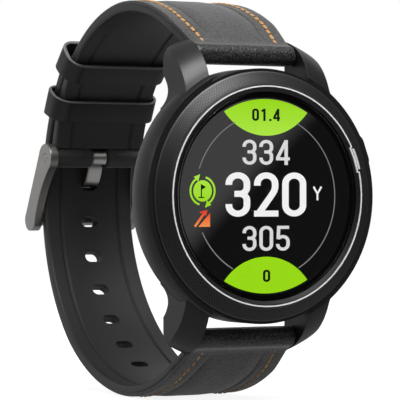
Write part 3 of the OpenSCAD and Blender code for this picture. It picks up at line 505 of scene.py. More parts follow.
def strap_grid(route, s, wrap_first, wrap_last, inset, insets, snug):
    """Grid of one strap layer: base points and normals in the side view, x across, the length along the
    route, the distance from the layer's outline and the cells to keep. A snug layer closes round the tang's
    strip, and the distance follows the tail's round corners."""
    total, upper = route_length(route), route is UPPER_ROUTE
    line = np.concatenate((wrap_first, along(route, s)[0], wrap_last))
    length = np.concatenate((np.full(len(wrap_first), s[0]), s, np.full(len(wrap_last), s[-1])))
    line_normal = curve_normals(line, 1 if upper else -1)
    full = half_width(line[:, 0]) - inset
    trim = 0.0 if upper else corner_trim(total - inset - length, TAIL_CORNER)
    x = columns_across(full - trim, insets)
    lengths = np.broadcast_to(length[:, None], x.shape)
    keep = np.ones((x.shape[0] - 1, x.shape[1] - 1), bool)
    base = np.broadcast_to(line[:, None], x.shape + (2,)).copy()
    normals = np.broadcast_to(line_normal[:, None], x.shape + (2,)).copy()
    if upper:
        return base, normals, x, lengths, np.maximum(full[:, None] - np.abs(x), 0), keep
    holes = hole_places()
    sizes = np.tile(HOLE_SIZE, (len(holes), 1))
    if snug:
        sizes[TANG_HOLE] = TANG_HOLE_SIZE
    x, lengths, q = hole_warp(x, lengths, holes, sizes)
    inner = q < HOLE_SHARE + ON_EDGE
    keep &= ~(inner[:-1, :-1] & inner[1:, 1:] & inner[1:, :-1] & inner[:-1, 1:])
    rows = slice(len(wrap_first), len(wrap_first) + len(s))
    base[rows], normals[rows] = along(route, lengths[rows])[:2]
    qx, qs = TAIL_CORNER - (full[:, None] - np.abs(x)), TAIL_CORNER - (total - inset - lengths)
    past = np.hypot(np.maximum(qx, 0), np.maximum(qs, 0)) + np.minimum(np.maximum(qx, qs), 0)
    return base, normals, x, lengths, np.maximum(TAIL_CORNER - past, 0), keep


def at_depth(base, normals, x, depth):
    """Points at a depth below the strap's outer curve."""
    side_view = base - np.broadcast_to(depth, x.shape)[..., None] * normals
    return np.stack((x, side_view[..., 0], side_view[..., 1]), -1)


def rounded_edge(edge, width, drop):
    """Drop of a rounded edge by distance from the outline, as a square of the way still to go."""
    return drop * np.clip(1 - edge / width, 0, 1) ** 2


def furrow(edge, place, width, depth):
    """Depth of a furrow along the outline, as a bell curve of the distance from it."""
    return depth * np.exp(-(((edge - place) / width) ** 2))


def leather_depth(edge, fade):
    """Depth of the leather's face by distance from its outline: a rounded edge, a sewn channel, a crease
    and a padded middle; the last three fade out where the leather turns round a bar."""
    place, width, height = PAD
    pad = height * smooth((edge - place) / width)
    sunk = FACE_SINK + furrow(edge, *CHANNEL) + furrow(edge, *CREASE) - pad
    return rounded_edge(edge, *LEATHER_EDGE) + fade * sunk


def leather_half(half, route, material):
    """One leather half: a sheet along its route, turned round its bar and, on the buckle half, its pin."""
    total, upper = route_length(route), route is UPPER_ROUTE
    first = bar_turn(route, UPPER_BAR if upper else LOWER_BAR, False)
    last = bar_turn(route, BUCKLE_PIN, True) if upper else np.zeros((0, 2))
    s = layer_rows(route, TURN_IN, LEATHER_INSET, LEATHER_ROWS)
    grid = strap_grid(route, s, first, last, LEATHER_INSET, LEATHER_INSETS, True)
    base, normals, x, length, edge, keep = grid
    on_roll = np.concatenate((np.zeros(len(first) - FADE_ROWS), np.linspace(0, FADE_BAR, FADE_ROWS)))
    reach = np.concatenate((on_roll, np.ones(len(s)), np.zeros(len(last))))
    fade = smooth(np.minimum(reach[:, None], np.maximum((length - TURN_IN) / FADE_L + FADE_BAR, 0)))
    if upper:
        fade = fade * smooth((total - TURN_IN - length) / FADE_L + FADE_PIN)
        lead = (base[:, 0] - np.array(BUCKLE_PIN)) @ along(route, np.array([total]))[2][0]
        on_turn = np.arange(len(lead) - 1) >= len(first) + len(s) - 1
        slotted = (lead > -TANG_SLOT_L)[:-1] & on_turn
        keep &= ~(slotted[:, None] & (np.abs(x[:-1, :-1] + x[:-1, 1:]) / 2 < TANG_SLOT_HALF))
    front = at_depth(base, normals, x, leather_depth(edge, fade))
    back = at_depth(base, normals, x, LEATHER_T)
    piece = sheet_piece("leather_" + half, front, back, half + "_strap", material, "strap_leather", keep,
                        rim=(edge < RIM_W) * 1.0, bevel=CUT_BEVEL, sharp=STRIP_SHARP)
    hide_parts(half + "_strap_leather")


def lining_half(half, route, material):
    """One silicone half: a sheet under the leather with rounded edges and a groove along each side."""
    none = np.zeros((0, 2))
    s = layer_rows(route, LINING_START, 0.0, LINING_ROWS)
    base, normals, x, _, edge, keep = strap_grid(route, s, none, none, 0.0, LINING_INSETS, False)
    place, width, depth = GROOVE
    groove = depth * smooth(GROOVE_FLANK - np.abs(edge - place) / width)
    back = at_depth(base, normals, x, STRAP_T - groove - rounded_edge(edge, *LINING_EDGE))
    front = at_depth(base, normals, x, LEATHER_T + LAYER_GAP)
    piece = sheet_piece("lining_" + half, front, back, half + "_strap", material, "strap_silicone", keep,
                        bevel=CUT_BEVEL, sharp=STRIP_SHARP)
    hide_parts(half + "_strap_lining")


def stitch_row(route, s, x, length, width, sunk):
    """A row of stitches: each is a capsule whose half length follows a sine and whose radius follows the
    root of the cosine, lying along the strap on the sewn channel."""
    point, normal, travel = along(route, s)
    u = np.linspace(-QUARTER, QUARTER, STITCH_RINGS)
    v = np.linspace(0, TURN, STITCH_SIDES, endpoint=False)
    reach = 0.5 * length * np.sin(u)[None, :, None]
    round_off = np.sqrt(np.maximum(np.cos(u), 0))[:, None]
    wide = 0.5 * width * round_off * np.cos(v)
    high = STITCH_HALF_T * round_off * np.sin(v)
    centre = point - sunk * normal
    side_view = (centre[:, None, None] + reach[..., None] * travel[:, None, None]
                 + high[None, ..., None] * normal[:, None, None])
    across = np.asarray(x)[:, None, None] + np.broadcast_to(wide, (len(s),) + wide.shape)
    return np.stack((across, side_view[..., 0], side_view[..., 1]), -1)


def stitch_faces(count):
    """Quads of the stitches' capsules, ring by ring."""
    size = STITCH_RINGS * STITCH_SIDES
    ring = np.arange(size).reshape(STITCH_RINGS, STITCH_SIDES)
    turned = np.roll(ring, -1, 1)
    quads = np.stack((ring[:-1], ring[1:], turned[1:], turned[:-1]), -1).reshape(-1, 4)
    return (quads[None] + size * np.arange(count)[:, None, None]).reshape(-1, 4)


def rounded_loop(t, half_x, low, high, outer_r, wrist_r):
    """Points of a rectangle with round corners at turns t: x across the strap and the radius from the
    dip's centre, each a corner's centre plus its radius times the cosine or sine of the turn."""
    quarter = np.floor(t / QUARTER).astype(int)
    corner = np.where(quarter < 2, outer_r, wrist_r)
    x = SIDE_X[quarter] * (half_x - corner) + corner * np.cos(t)
    r = np.where(quarter < 2, high - corner, low + corner) + corner * np.sin(t)
    return np.stack((x, r), -1)


def keeper_grid(angle):
    """A keeper: a rounded bar section between an inner and an outer rounded rectangle, bent to the strap's
    curve. Across the strap the loop runs along x; its height is the radius from the dip's centre."""
    cy, cz, dip = UPPER_ROUTE[1][:3]
    t = np.linspace(0, TURN, KEEPER_POINTS, endpoint=False)
    low, high = KEEPER_IN, KEEPER_IN + KEEPER_SPACE
    inside = rounded_loop(t, KEEPER_HALF, low, high, *KEEPER_CORNERS["inside"])
    grown = (KEEPER_HALF + KEEPER_T, low - KEEPER_T, high + KEEPER_T)
    outside = rounded_loop(t, *grown, *KEEPER_CORNERS["outside"])
    p = np.linspace(0, TURN, KEEPER_SECTION, endpoint=False)
    quarter = np.floor(p / QUARTER).astype(int)
    along_strap = SIDE_X[quarter] * (KEEPER_L / 2 - KEEPER_EDGE) + KEEPER_EDGE * np.cos(p)
    thick = SIDE_UP[quarter] * (KEEPER_T / 2 - KEEPER_EDGE) + KEEPER_EDGE * np.sin(p)
    share = (0.5 + thick / KEEPER_T)[:, None]
    section = inside[:, None] + (outside - inside)[:, None] * share
    x, r = section[..., 0], section[..., 1]
    a = math.radians(angle) + along_strap / dip
    return np.stack((x, cy + r * np.cos(a), cz + r * np.sin(a)), -1)


def knurl_count(pitch):
    """Points in one row of the knurl."""
    return round(TURN * KNURL_R / pitch)


def knurl_band(name, body, material, pitch):
    """The bezel's knurled cone: a grid round the dial by steps of half a pitch, on which every second point
    stands up like a chessboard's squares, so that four slopes meet in each point; its first and last row lie
    on the cone."""
    (r0, y0), (r1, y1) = CONE
    count = 2 * knurl_count(pitch)
    first, last = math.ceil(r0 / (pitch / 2)), math.floor(r1 / (pitch / 2))
    i, k = np.meshgrid(np.arange(count), np.arange(first, last + 1), indexing="ij")
    a, r = TURN * i / count, k * pitch / 2
    y = y0 + (r - r0) * (y1 - y0) / (r1 - r0)
    slope = math.hypot(r1 - r0, y1 - y0)
    out_r, out_y = (y1 - y0) / slope, -(r1 - r0) / slope
    peak = ((i + k) % 2 == 1) & (k > first) & (k < last)

    def lifted(height):
        """Points of the cone moved out along its normal."""
        radius = r + out_r * height
        return np.stack((radius * np.cos(a), y + out_y * height, radius * np.sin(a)), -1)

    front, back = lifted(KNURL_LIFT + KNURL_HEIGHT * peak), lifted(-KNURL_ROOT)
    sheet_piece(name, front, back, body, material, "bezel_black", ring=True, sharp=KNURL_SHARP)


def bent(points, steps, end_points):
    """A strip's middle line: straight to the middle of the first leg, then one parabola per bend from the
    middle of each leg to the middle of the next, and straight to the end."""
    points = np.asarray(points, float)
    middle = (points[:-1] + points[1:]) / 2
    u = np.linspace(0, 1, steps, endpoint=False)[None, :, None]
    curve = (1 - u) ** 2 * middle[:-1, None] + 2 * u * (1 - u) * points[1:-1, None] + u**2 * middle[1:, None]
    rest = np.linspace(middle[-1], points[-1], end_points)
    return np.concatenate((points[:1], curve.reshape(-1, 2), rest))


def tang_strip(name, node, body, material):
    """The tang: a flat strip rolled into an eye round the pin, bent through the strap's hole and over the
    crossbar, with a rounded tip."""
    a = np.radians(np.linspace(TANG_EYE_FROM, TANG_EYE_TO, TANG_EYE_POINTS))[:, None]
    eye = np.array(BUCKLE_PIN) + TANG_EYE_R * np.concatenate((np.cos(a), np.sin(a)), 1)
    line = np.concatenate((eye[:-1], bent([eye[-1], *TANG_BENDS], TANG_BEND_STEPS, TANG_END_POINTS)))
    left = np.linalg.norm(line - line[-1], axis=1)
    x = (TANG_HALF - corner_trim(left, TANG_TIP_R))[:, None] * np.linspace(-1, 1, TANG_COLUMNS)
    base, normals = line[:, None], curve_normals(line, 1)[:, None]
    front, back = (at_depth(base, normals, x, depth) for depth in (-TANG_T / 2, TANG_T / 2))
    piece = sheet_piece(name, front, back, body, material, "buckle_steel",
                        bevel=TANG_BEVEL, sharp=STRIP_SHARP)
    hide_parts(node)


class Nodes:
    """A node tree with short calls for its steps."""

    def __init__(self, tree):
        self.tree = tree
        tree.nodes.clear()

    def feed(self, socket, value):
        """Links an output to a socket, or sets the socket's own value."""
        if isinstance(value, bpy.types.NodeSocket):
            self.tree.links.new(value, socket)
        else:
            socket.default_value = value

    def add(self, kind, inputs=(), **settings):
        """A node with its settings and its inputs."""
        node = self.tree.nodes.new(kind)
        for key, value in settings.items():
            setattr(node, key, value)
        for key, value in dict(inputs).items():
            self.feed(node.inputs[key], value)
        return node

    def math(self, operation, a, b=0.0):
        """One arithmetic step."""
        return self.add("ShaderNodeMath", {0: a, 1: b}, operation=operation).outputs[0]

    def minus(self, a, b):
        """A difference."""
        return self.math("SUBTRACT", a, b)

    def times(self, a, b):
        """A product."""
        return self.math("MULTIPLY", a, b)

    def larger(self, a, b):
        """The larger of two values."""
        return self.math("MAXIMUM", a, b)

    def sum(self, *parts):
        """A sum of values, each times its weight."""
        total = 0.0
        for value, weight in parts:
            total = self.math("ADD", total, self.times(value, weight))
        return total

    def reach(self, a, b):
        """Length of a way with two legs."""
        return self.math("SQRT", self.sum((a, a), (b, b)))

    def rise(self, value, low, high, top=1.0, soft=False):
        """0 at low and top at high, held outside them."""
        inputs = {"Value": value, "From Min": low, "From Max": high, "To Max": top}
        kind = "SMOOTHSTEP" if soft else "LINEAR"
        return self.add("ShaderNodeMapRange", inputs, interpolation_type=kind).outputs[0]


class Finish(Nodes):
    """A material with a principled shader, whose patterns lie on the piece's Object coordinates."""

    def __init__(self, name):
        self.material = bpy.data.materials.new(name)
        self.material.use_nodes = True
        super().__init__(self.material.node_tree)
        self.shader = self.add("ShaderNodeBsdfPrincipled")
        self.add("ShaderNodeOutputMaterial", {"Surface": self.shader.outputs["BSDF"]})
        self.place = self.add("ShaderNodeTexCoord").outputs["Object"]

    def axes(self):
        """The coordinates x, y and z in millimetres."""
        scale = self.add("ShaderNodeVectorMath", {0: self.place, "Scale": 1 / MM}, operation="SCALE")
        return self.add("ShaderNodeSeparateXYZ", {"Vector": scale.outputs[0]}).outputs

    def from_axis(self, centre, mirrored=False):
        """Way along y and z from an axis (y, z) across the watch; mirrored takes both halves alike."""
        _, y, z = self.axes()
        height = self.math("ABSOLUTE", z) if mirrored else z
        return self.minus(y, centre[0]), self.minus(height, centre[1])

    def noise(self, size, detail=3.0, roughness=0.5):
        """Noise whose cells are about the given size."""
        inputs = {"Vector": self.place, "Scale": 1 / (size * MM), "Detail": detail, "Roughness": roughness}
        return self.add("ShaderNodeTexNoise", inputs).outputs["Fac"]

    def cells(self, size):
        """Distance from the middle of the nearest of many cells of the given size."""
        inputs = {"Vector": self.place, "Scale": 1 / (size * MM)}
        return self.add("ShaderNodeTexVoronoi", inputs, feature="F1").outputs["Distance"]

    def blend(self, factor, dark, light, low=0.3, high=0.7):
        """Two colours mixed by a factor, the first up to low and the second from high."""
        ramp = self.add("ShaderNodeValToRGB", {"Fac": factor})
        for element, position, colour in zip(ramp.color_ramp.elements, (low, high), (dark, light)):
            element.position, element.color = position, (*colour, 1)
        return ramp.outputs["Color"]

    def mix(self, factor, a, b, blend_type="MIX"):
        """One colour laid over another by a factor."""
        inputs = {0: factor, 6: a, 7: b}
        return self.add("ShaderNodeMix", inputs, data_type="RGBA", blend_type=blend_type).outputs[2]

    def span(self, factor, low, high):
        """A factor from 0 to 1 spread from low to high."""
        return self.add("ShaderNodeMapRange", {"Value": factor, "To Min": low, "To Max": high}).outputs[0]

    def set(self, **inputs):
        """Shader inputs by name, with underscores for spaces; a tuple is a colour."""
        for key, value in inputs.items():
            full = (*value, 1) if isinstance(value, tuple) else value
            self.feed(self.shader.inputs[key.replace("_", " ")], full)
        return self

    def relief(self, height, depth, strength, edge=0.0):
        """Bump of the given depth, over edges shaded round to the given radius."""
        bump = self.add("ShaderNodeBump", {"Height": height, "Strength": strength, "Distance": depth * MM})
        if edge:
            soft = self.add("ShaderNodeBevel", {"Radius": edge * MM}, samples=6)
            self.feed(bump.inputs["Normal"], soft.outputs["Normal"])
        self.set(Normal=bump.outputs["Normal"])

    def glow(self, colour):
        """A dull black that is lit from inside in a colour."""
        self.set(Base_Color=(0.002, 0.002, 0.002), Roughness=0.5, Specular_IOR_Level=0.0,
                 Emission_Color=colour, Emission_Strength=1.0)
        return self.material


def scaled(colour, factor):
    """A colour made lighter or darker."""
    return tuple(min(1.0, c * factor) for c in colour)


def grained(name, colour, size, rough, depth, spread, metallic=0.0, coarse=12, edge=0.0):
    """A moulded, blasted or plated finish: fine grain in the relief, and broad and fine shifts of tone and
    gloss."""
    f = Finish(name)
    fine, broad = f.noise(size, 2.0), f.noise(size * coarse, 3.0)
    both = f.sum((fine, 0.5), (broad, 0.5))
    f.set(Base_Color=f.blend(both, scaled(colour, 1 - spread), scaled(colour, 1 + spread)),
          Roughness=f.span(both, rough - 0.06, rough + 0.06), Metallic=metallic)
    f.relief(fine, depth, 0.6, edge)
    return f


def leather_finish(settings):
    """Dyed full-grain leather: rounded grain cells with pores between them, wrinkles and a soft sheen,
    darker where it turns round a spring bar and painted like the lining on its cut edges."""
    f = Finish("dyed_leather")
    grain = settings.grain / MM
    cells, wrinkle, pores = f.cells(grain), f.noise(1.6, 3.0, 0.6), f.noise(grain * 0.7, 2.0)
    tone = f.sum((wrinkle, 0.2), (pores, 0.8))
    open_face = f.rise(f.reach(*f.from_axis(UPPER_BAR, mirrored=True)), *ROLL_FADE, soft=True)
    clear_of_pin = f.rise(f.reach(*f.from_axis(BUCKLE_PIN)), *PIN_FADE, soft=True)
    pore = settings.leather_pore
    face = f.blend(tone, scaled(pore, 0.8), scaled(settings.leather, 1.4), 0.36, 0.64)
    # Darker colour where the leather turns round a spring bar
    near_bar_dark = f.blend(pores, scaled(pore, 0.25), scaled(pore, 2.4), 0.42, 0.72)
    rim = f.add("ShaderNodeAttribute", attribute_name="rim").outputs["Fac"]
    painted = f.larger(rim, f.minus(1.0, clear_of_pin))
    f.set(Base_Color=f.mix(painted, f.mix(open_face, near_bar_dark, face), (*settings.lining, 1)),
          Roughness=f.times(f.span(tone, 0.62, 0.46), f.span(open_face, 0.6, 1.0)),
          Specular_IOR_Level=0.5, Sheen_Weight=0.5, Sheen_Roughness=0.35)
    f.relief(f.sum((cells, -1.0), (wrinkle, 0.3), (pores, 0.6)), 0.09, 0.7)
    return f.material


def silicone_finish(name, colour, rough, gloss):
    """Moulded silicone: a satin skin with a very fine orange-peel and faint dust-like shifts of tone."""
    return grained(name, colour, 0.18, rough, 0.012, 0.14, coarse=20).set(Specular_IOR_Level=gloss)


def keeper_finish(name, settings, angle):
    """The keepers' silicone with a painted highlight along the upper edge, which is read from the angle
    round the dip's centre, and faintly mottled."""
    f = silicone_finish(name, settings.keeper, 0.4, 0.5)
    dip = UPPER_ROUTE[1][2]
    ahead, above = f.from_axis(UPPER_ROUTE[1][:2])
    turn = f.minus(f.math("ARCTAN2", above, ahead), math.radians(angle))
    start = KEEPER_L / 2 - KEEPER_HIGHLIGHT_W
    # Painted highlight: a lighter colour along the keeper's upper edge
    rim = f.rise(turn, start / dip, (start + KEEPER_HIGHLIGHT_FADE) / dip)
    tone = f.larger(rim, f.times(f.noise(3.6), 0.03))
    f.set(Base_Color=f.blend(tone, settings.keeper, settings.keeper_painted_highlight, 0.0, 1.0))
    return f.material


def thread_finish(settings):
    """Waxed thread: slanting strands that repeat along the seam, with a painted highlight on top of each
    strand.
    """
    f = Finish("waxed_thread")
    strands = {"Vector": f.place, "Scale": 900.0, "Distortion": 2.0, "Detail": 2.0}
    wave = f.add("ShaderNodeTexWave", strands, bands_direction="DIAGONAL").outputs["Fac"]
    tone = f.sum((wave, 0.5), (f.noise(0.12), 0.5))
    # Painted highlight: the tone that raises a strand also lightens its colour
    f.set(Base_Color=f.blend(tone, scaled(settings.thread, 0.55), scaled(settings.thread, 1.15)),
          Roughness=0.55, Sheen_Weight=0.2)
    f.relief(tone, 0.04, 0.5)
    return f.material


def knurl_finish(name, settings, edge):
    """Bezel finish with a painted highlight on the knurl's points and a painted highlight line at its foot:
    the points stand staggered round the dial between two radii, read from the angle round the dial's axis
    and the distance from it."""
    f = Finish(name)
    pitch = settings.knurl_pitch / MM
    x, _, z = f.axes()
    radius = f.reach(x, z)
    a = f.times(f.math("ARCTAN2", z, x), knurl_count(pitch) / 2)
    r = f.times(radius, math.pi / pitch)
    waves = [f.math("SINE", f.sum((a, 1.0), (r, sign))) for sign in (1.0, -1.0)]
    inside = f.times(f.rise(radius, *KNURL_INNER), f.rise(radius, *KNURL_OUTER))
    knurl = f.times(f.math("ABSOLUTE", f.times(*waves)), inside)
    foot = f.rise(radius, *FOOT_HIGHLIGHT)
    grain = f.noise(0.12, 2.0)
    # Tone: random shifts, plus a painted highlight on the knurl's points and a painted highlight line at the
    # foot
    tone = f.sum((f.noise(3.0), 0.2), (knurl, 0.8), (foot, 1.0))
    gloss = f.sum((f.minus(1.0, inside), 0.45), (foot, 0.5), (knurl, 1.0))
    f.set(Base_Color=f.blend(tone, scaled(settings.bezel, 0.5), scaled(settings.bezel, 1.4), 0.1, 0.9),
          Roughness=f.span(grain, 0.38, 0.48), Specular_IOR_Level=f.span(gloss, 0.1, 1.0))
    f.relief(grain, 0.0024, 0.5, edge)
    return f.material


def glass_finish():
    """Cover glass whose clearness varies with faint smears."""
    f = Finish("cover_glass")
    tint = f.blend(f.noise(6.0, 4.0), (0.97, 0.975, 0.98), (1.0, 1.0, 1.0))
    return f.set(Base_Color=tint, Roughness=0.0, Transmission_Weight=1.0, IOR=1.48).material


def board_finish():
    """Solder mask over copper tracks: fine right-angled cells in two greens."""
    f = Finish("board_green")
    brick = f.add("ShaderNodeTexBrick", {
        "Vector": f.place, "Scale": 420.0, "Mortar Size": 0.03, "Color1": (0.01, 0.11, 0.05, 1),
        "Color2": (0.012, 0.14, 0.06, 1), "Mortar": (0.03, 0.24, 0.11, 1)})
    f.set(Base_Color=brick.outputs["Color"], Roughness=f.span(f.noise(0.8), 0.28, 0.42))
    f.relief(brick.outputs["Fac"], 0.02, 0.4)
    return f.material


def panel_finish(settings):
    """Display panel: its ground glows with a painted reflection that fades from grey at the upper left to
    black at the lower right.
    """
    f = Finish("display_black")
    x, _, z = f.axes()
    # Painted reflection: a diagonal fade in the panel's glow
    grade = f.rise(f.sum((z, 1.0), (x, -REFLECTION_SLANT)), *REFLECTION_FADE, soft=True)
    return f.glow(f.blend(grade, settings.ground_dark, settings.ground, 0.0, 1.0))


def lit_finish(name, low_colour, high_colour, low_z, high_z):
    """A lit part of the display: colour graded from low to high along the dial, with the fine grid of its
    picture elements."""
    f = Finish(name)
    x, _, z = f.axes()
    colour = f.blend(f.rise(z, low_z, high_z), low_colour, high_colour, 0.0, 1.0)
    waves = [f.math("SINE", f.times(axis, TURN / ELEMENT_PITCH)) for axis in (x, z)]
    level = f.span(f.math("ABSOLUTE", f.times(*waves)), 0.94, 1.02)
    return f.glow(f.mix(1.0, colour, level, "MULTIPLY"))


def ribbon(points, width, ring=False):
    """Two edges of a stroke: each point of a flat path moved half the width to either side along the mean
    normal of its neighbours, longer at corners. The width is one value or one per point."""
    points = np.asarray(points, float)
    if ring:
        before, after = points - np.roll(points, 1, 0), np.roll(points, -1, 0) - points
    else:
        step = np.diff(points, axis=0)
        before, after = np.concatenate((step[:1], step)), np.concatenate((step, step[-1:]))
    before /= np.linalg.norm(before, axis=1, keepdims=True)
    after /= np.linalg.norm(after, axis=1, keepdims=True)
    mean = before + after
    mean /= np.linalg.norm(mean, axis=1, keepdims=True)
    longer = np.minimum(1 / np.maximum((mean * after).sum(1), 0.3), 2.0)[:, None]
    normal = np.stack((-mean[:, 1], mean[:, 0]), -1)
    half = 0.5 * np.reshape(width, (-1, 1)) * longer * normal
    return np.stack((points - half, points + half), 1)


def on_display(flat, y):
    """Flat dial points (x, z) as points at depth y."""
    return np.stack((flat[..., 0], np.full(flat.shape[:-1], y), flat[..., 1]), -1)


def bow(cx, cz, r, a0, a1, n=16):
    """Points of an arc."""
    a = np.radians(np.linspace(a0, a1, n))
    return np.stack((cx + r * np.cos(a), cz + r * np.sin(a)), -1)


def path(*parts):
    """One line through points and arcs in turn."""
    return np.concatenate([np.reshape(part, (-1, 2)) for part in parts])


def digit_lines(digit, w, h, t):
    """Centre lines of a digit in a box w wide and h high for a stroke t; only the line of 0 is closed."""
    x0, x1, z0, z1 = t / 2, w - t / 2, t / 2, h - t / 2
    r, mid, cx = (x1 - x0) / 2, h * 0.515, w / 2
    k = r * 0.8
    crown, bowl = bow(cx, z1 - r, r, 180, 0), bow(cx, z0 + r, r, 180, 360)
    if digit == "0":
        return [path(crown[::-1], bowl)]
    if digit == "1":
        return [path((w * 0.55, 0), (w * 0.55, h)), path((w * 0.55, h - t * 0.5), (w * 0.12, h * 0.78))]
    if digit == "2":
        neck = [(x1, h * 0.66), (x1 - 0.04 * w, h * 0.58), (x1 - 0.14 * w, h * 0.49)]
        return [path((x0, h * 0.70), crown, neck, (x0 + 0.08 * w, z0 + 0.02 * h)), path((0, z0), (w, z0))]
    if digit == "3":
        waist = (w * 0.36, mid)
        return [path((x0, h * 0.715), crown, bow(x1 - k, mid + k, k, 0, -90), waist),
                path((x0, h * 0.285), bowl, bow(x1 - k, mid - k, k, 0, 90), waist)]
    if digit == "4":
        return [path((w * 0.74, 0), (w * 0.74, h)), path((w * 0.72, h - t * 0.35), (t * 0.42, h * 0.27)),
                path((0, h * 0.245), (w, h * 0.245))]
    if digit == "5":
        shoulder = bow(cx, h * 0.63 - t / 2 - r, r, 0, 120, 12)
        return [path((x0, h * 0.27), bowl, shoulder, (x0 + 0.02 * w, h * 0.50)),
                path((x0 + 0.03 * w, h * 0.47), (x0 + 0.08 * w, h)), path((x0, z1), (w * 0.95, z1))]
    raise ValueError("no drawing of the digit " + digit)


def number_strokes(text, cx, cz, w, h, t, space):
    """Strokes of a number centred at cx, cz, drawn for a page that is then stretched STEM times across, so
    that stems are heavier than bars."""
    cx, w, space = cx / STEM, w / STEM, space / STEM
    widths = [t if c == "." else w for c in text]
    x = cx - (sum(widths) + space * (len(text) - 1)) / 2
    strokes = []
    for c, cw in zip(text, widths):
        lines = [path((t / 2, 0), (t / 2, t))] if c == "." else digit_lines(c, cw, h, t)
        strokes += [(line + np.array([x, cz - h / 2]), t, c == "0") for line in lines]
        x += cw + space
    return strokes


def draw_strokes(name, strokes, material, front_y, stretch=1.0):
    """A mark of the display: strokes as thin ribbons, each given as points, width and if it is closed."""
    points, faces, count = [], [], 0
    for i, (line, width, ring) in enumerate(strokes):
        flat = ribbon(line, width, ring) * np.array([stretch, 1.0])
        front, back = on_display(flat, front_y - STROKE_LIFT * (i % 4)), on_display(flat, PICTURE_BACK_Y)
        n = len(flat)
        keep = np.ones((n if ring else n - 1, 1), bool)
        points += [front.reshape(-1, 3), back.reshape(-1, 3)]
        faces.append(sheet_faces(n, 2, keep, ring) + count)
        count += 4 * n
    make_piece(name, np.concatenate(points), np.concatenate(faces), "case", material, "display_black")


def draw_area(name, flat, material, ring=False):
    """A lit area of the display from a grid of flat dial points."""
    sheet_piece(name, on_display(flat, PICTURE_Y), on_display(flat, PICTURE_BACK_Y), "case", material,
                "display_black", ring=ring)


def segment_grid(sign):
    """Lens-shaped segment of the display: across it x, and up it the even way from an inner arc to the
    display's own edge."""
    x = SEGMENT_HALF * np.sin(np.linspace(-QUARTER, QUARTER, SEGMENT_COLUMNS))
    outer = np.sqrt(LIT_R**2 - x**2)
    inner = outer[0] + np.sqrt(SEGMENT_ARC_R**2 - SEGMENT_HALF**2) - np.sqrt(SEGMENT_ARC_R**2 - x**2)
    z = inner[:, None] + (outer - inner)[:, None] * np.linspace(0, 1, SEGMENT_ROWS)
    return np.stack((np.broadcast_to(x[:, None], z.shape), sign * z), -1)


def dress(material, nodes):
    """Gives CAD nodes a material."""
    for node in nodes:
        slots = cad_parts[node].data.materials
        slots.clear()
        slots.append(material)


def dress_plain(finishes):
    """Gives CAD nodes the plain finishes of a table."""
    for name, (code, *grain, nodes) in finishes.items():
        dress(grained(name, shade(code), *grain).material, nodes)


def aim(thing, place, target):
    """Puts a light or camera at a place, turned towards a target."""
    thing.location = place
    thing.rotation_mode = "QUATERNION"
    thing.rotation_quaternion = (Vector(target) - Vector(place)).to_track_quat("-Z", "Y")


def area_light(scene, name, place, target, size, power, mirrored):
    """A square soft light aimed at a point."""
    data = bpy.data.lights.new(name, "AREA")
    data.shape, data.size, data.energy = "SQUARE", size, power
    light = bpy.data.objects.new(name, data)
    scene.collection.objects.link(light)
    aim(light, place, target)
    light.visible_glossy = mirrored


def studio_world(settings):
    """White to the camera; in reflections a soft card above, dimmer ones behind on both sides and the pale
    floor below; a plain grey for diffuse light."""
    world = bpy.data.worlds.new("studio")
    world.use_nodes = True
    n = Nodes(world.node_tree)
    rays = n.add("ShaderNodeLightPath").outputs
    direction = n.add("ShaderNodeTexCoord").outputs["Generated"]
    cards = 0.0
    for facing, low, high, level in ((*OVERHEAD_CARD, settings.card), *OTHER_CARDS):
        ways = {0: direction, 1: Vector(facing).normalized()}
        toward = n.add("ShaderNodeVectorMath", ways, operation="DOT_PRODUCT").outputs["Value"]
        cards = n.larger(cards, n.rise(toward, low, high, level, soft=True))
    seen = rays["Is Camera Ray"]
    mirrored = n.larger(rays["Is Glossy Ray"], rays["Is Transmission Ray"])
    plain = n.minus(1.0, n.larger(seen, mirrored))
    shine = n.math("ADD", cards, MIRRORED_GROUND)
    strength = n.sum((seen, 1.0), (mirrored, shine), (plain, settings.ambient))
    back = n.add("ShaderNodeBackground", {"Color": (1, 1, 1, 1), "Strength": strength})
    n.add("ShaderNodeOutputWorld", {"Surface": back.outputs[0]})
    return world


def floor_finish(settings):
    """Pale matt floor, lifted to white for the camera, that still takes the shadow."""
    f = Finish("studio_floor")
    seen = f.add("ShaderNodeLightPath").outputs["Is Camera Ray"]
    tone = f.blend(f.noise(200.0, 2.0), scaled(settings.floor, 0.98), settings.floor)
    f.set(Base_Color=tone, Roughness=0.9, Specular_IOR_Level=0.1, Emission_Color=(1, 1, 1),
          Emission_Strength=f.times(seen, FLOOR_GLOW))
    return f.material


def studio_floor(scene, settings):
    """A square floor just under the watch, left out of reflections."""
    low = min(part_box(node)[0].z for node in ("lower_strap_leather", "buckle_frame"))
    side = np.linspace(-FLOOR_HALF, FLOOR_HALF, FLOOR_POINTS)
    u, v = np.meshgrid(side, side, indexing="ij")
    points = np.stack((u, v, np.full(u.shape, low - FLOOR_GAP)), -1).reshape(-1, 3)
    quads = cell_quads(np.arange(u.size).reshape(u.shape)).reshape(-1, 4)
    mesh = bpy.data.meshes.new("studio_floor")
    mesh.from_pydata(points.tolist(), [], quads.tolist())
    mesh.materials.append(floor_finish(settings))
    floor = bpy.data.objects.new("studio_floor", mesh)
    scene.collection.objects.link(floor)
    floor.visible_glossy = floor.visible_transmission = False


class LeatherOperator(bpy.types.Operator):
    """Makes the two leather halves of the strap"""
    bl_idname = "golf_watch.leather"
    bl_label = "Strap leather"
    bl_options = {"REGISTER", "UNDO"}

    def execute(self, context):
        material = leather_finish(context.scene.watch_strap)
        for half, route in HALVES.items():
            leather_half(half, route, material)
        return {"FINISHED"}


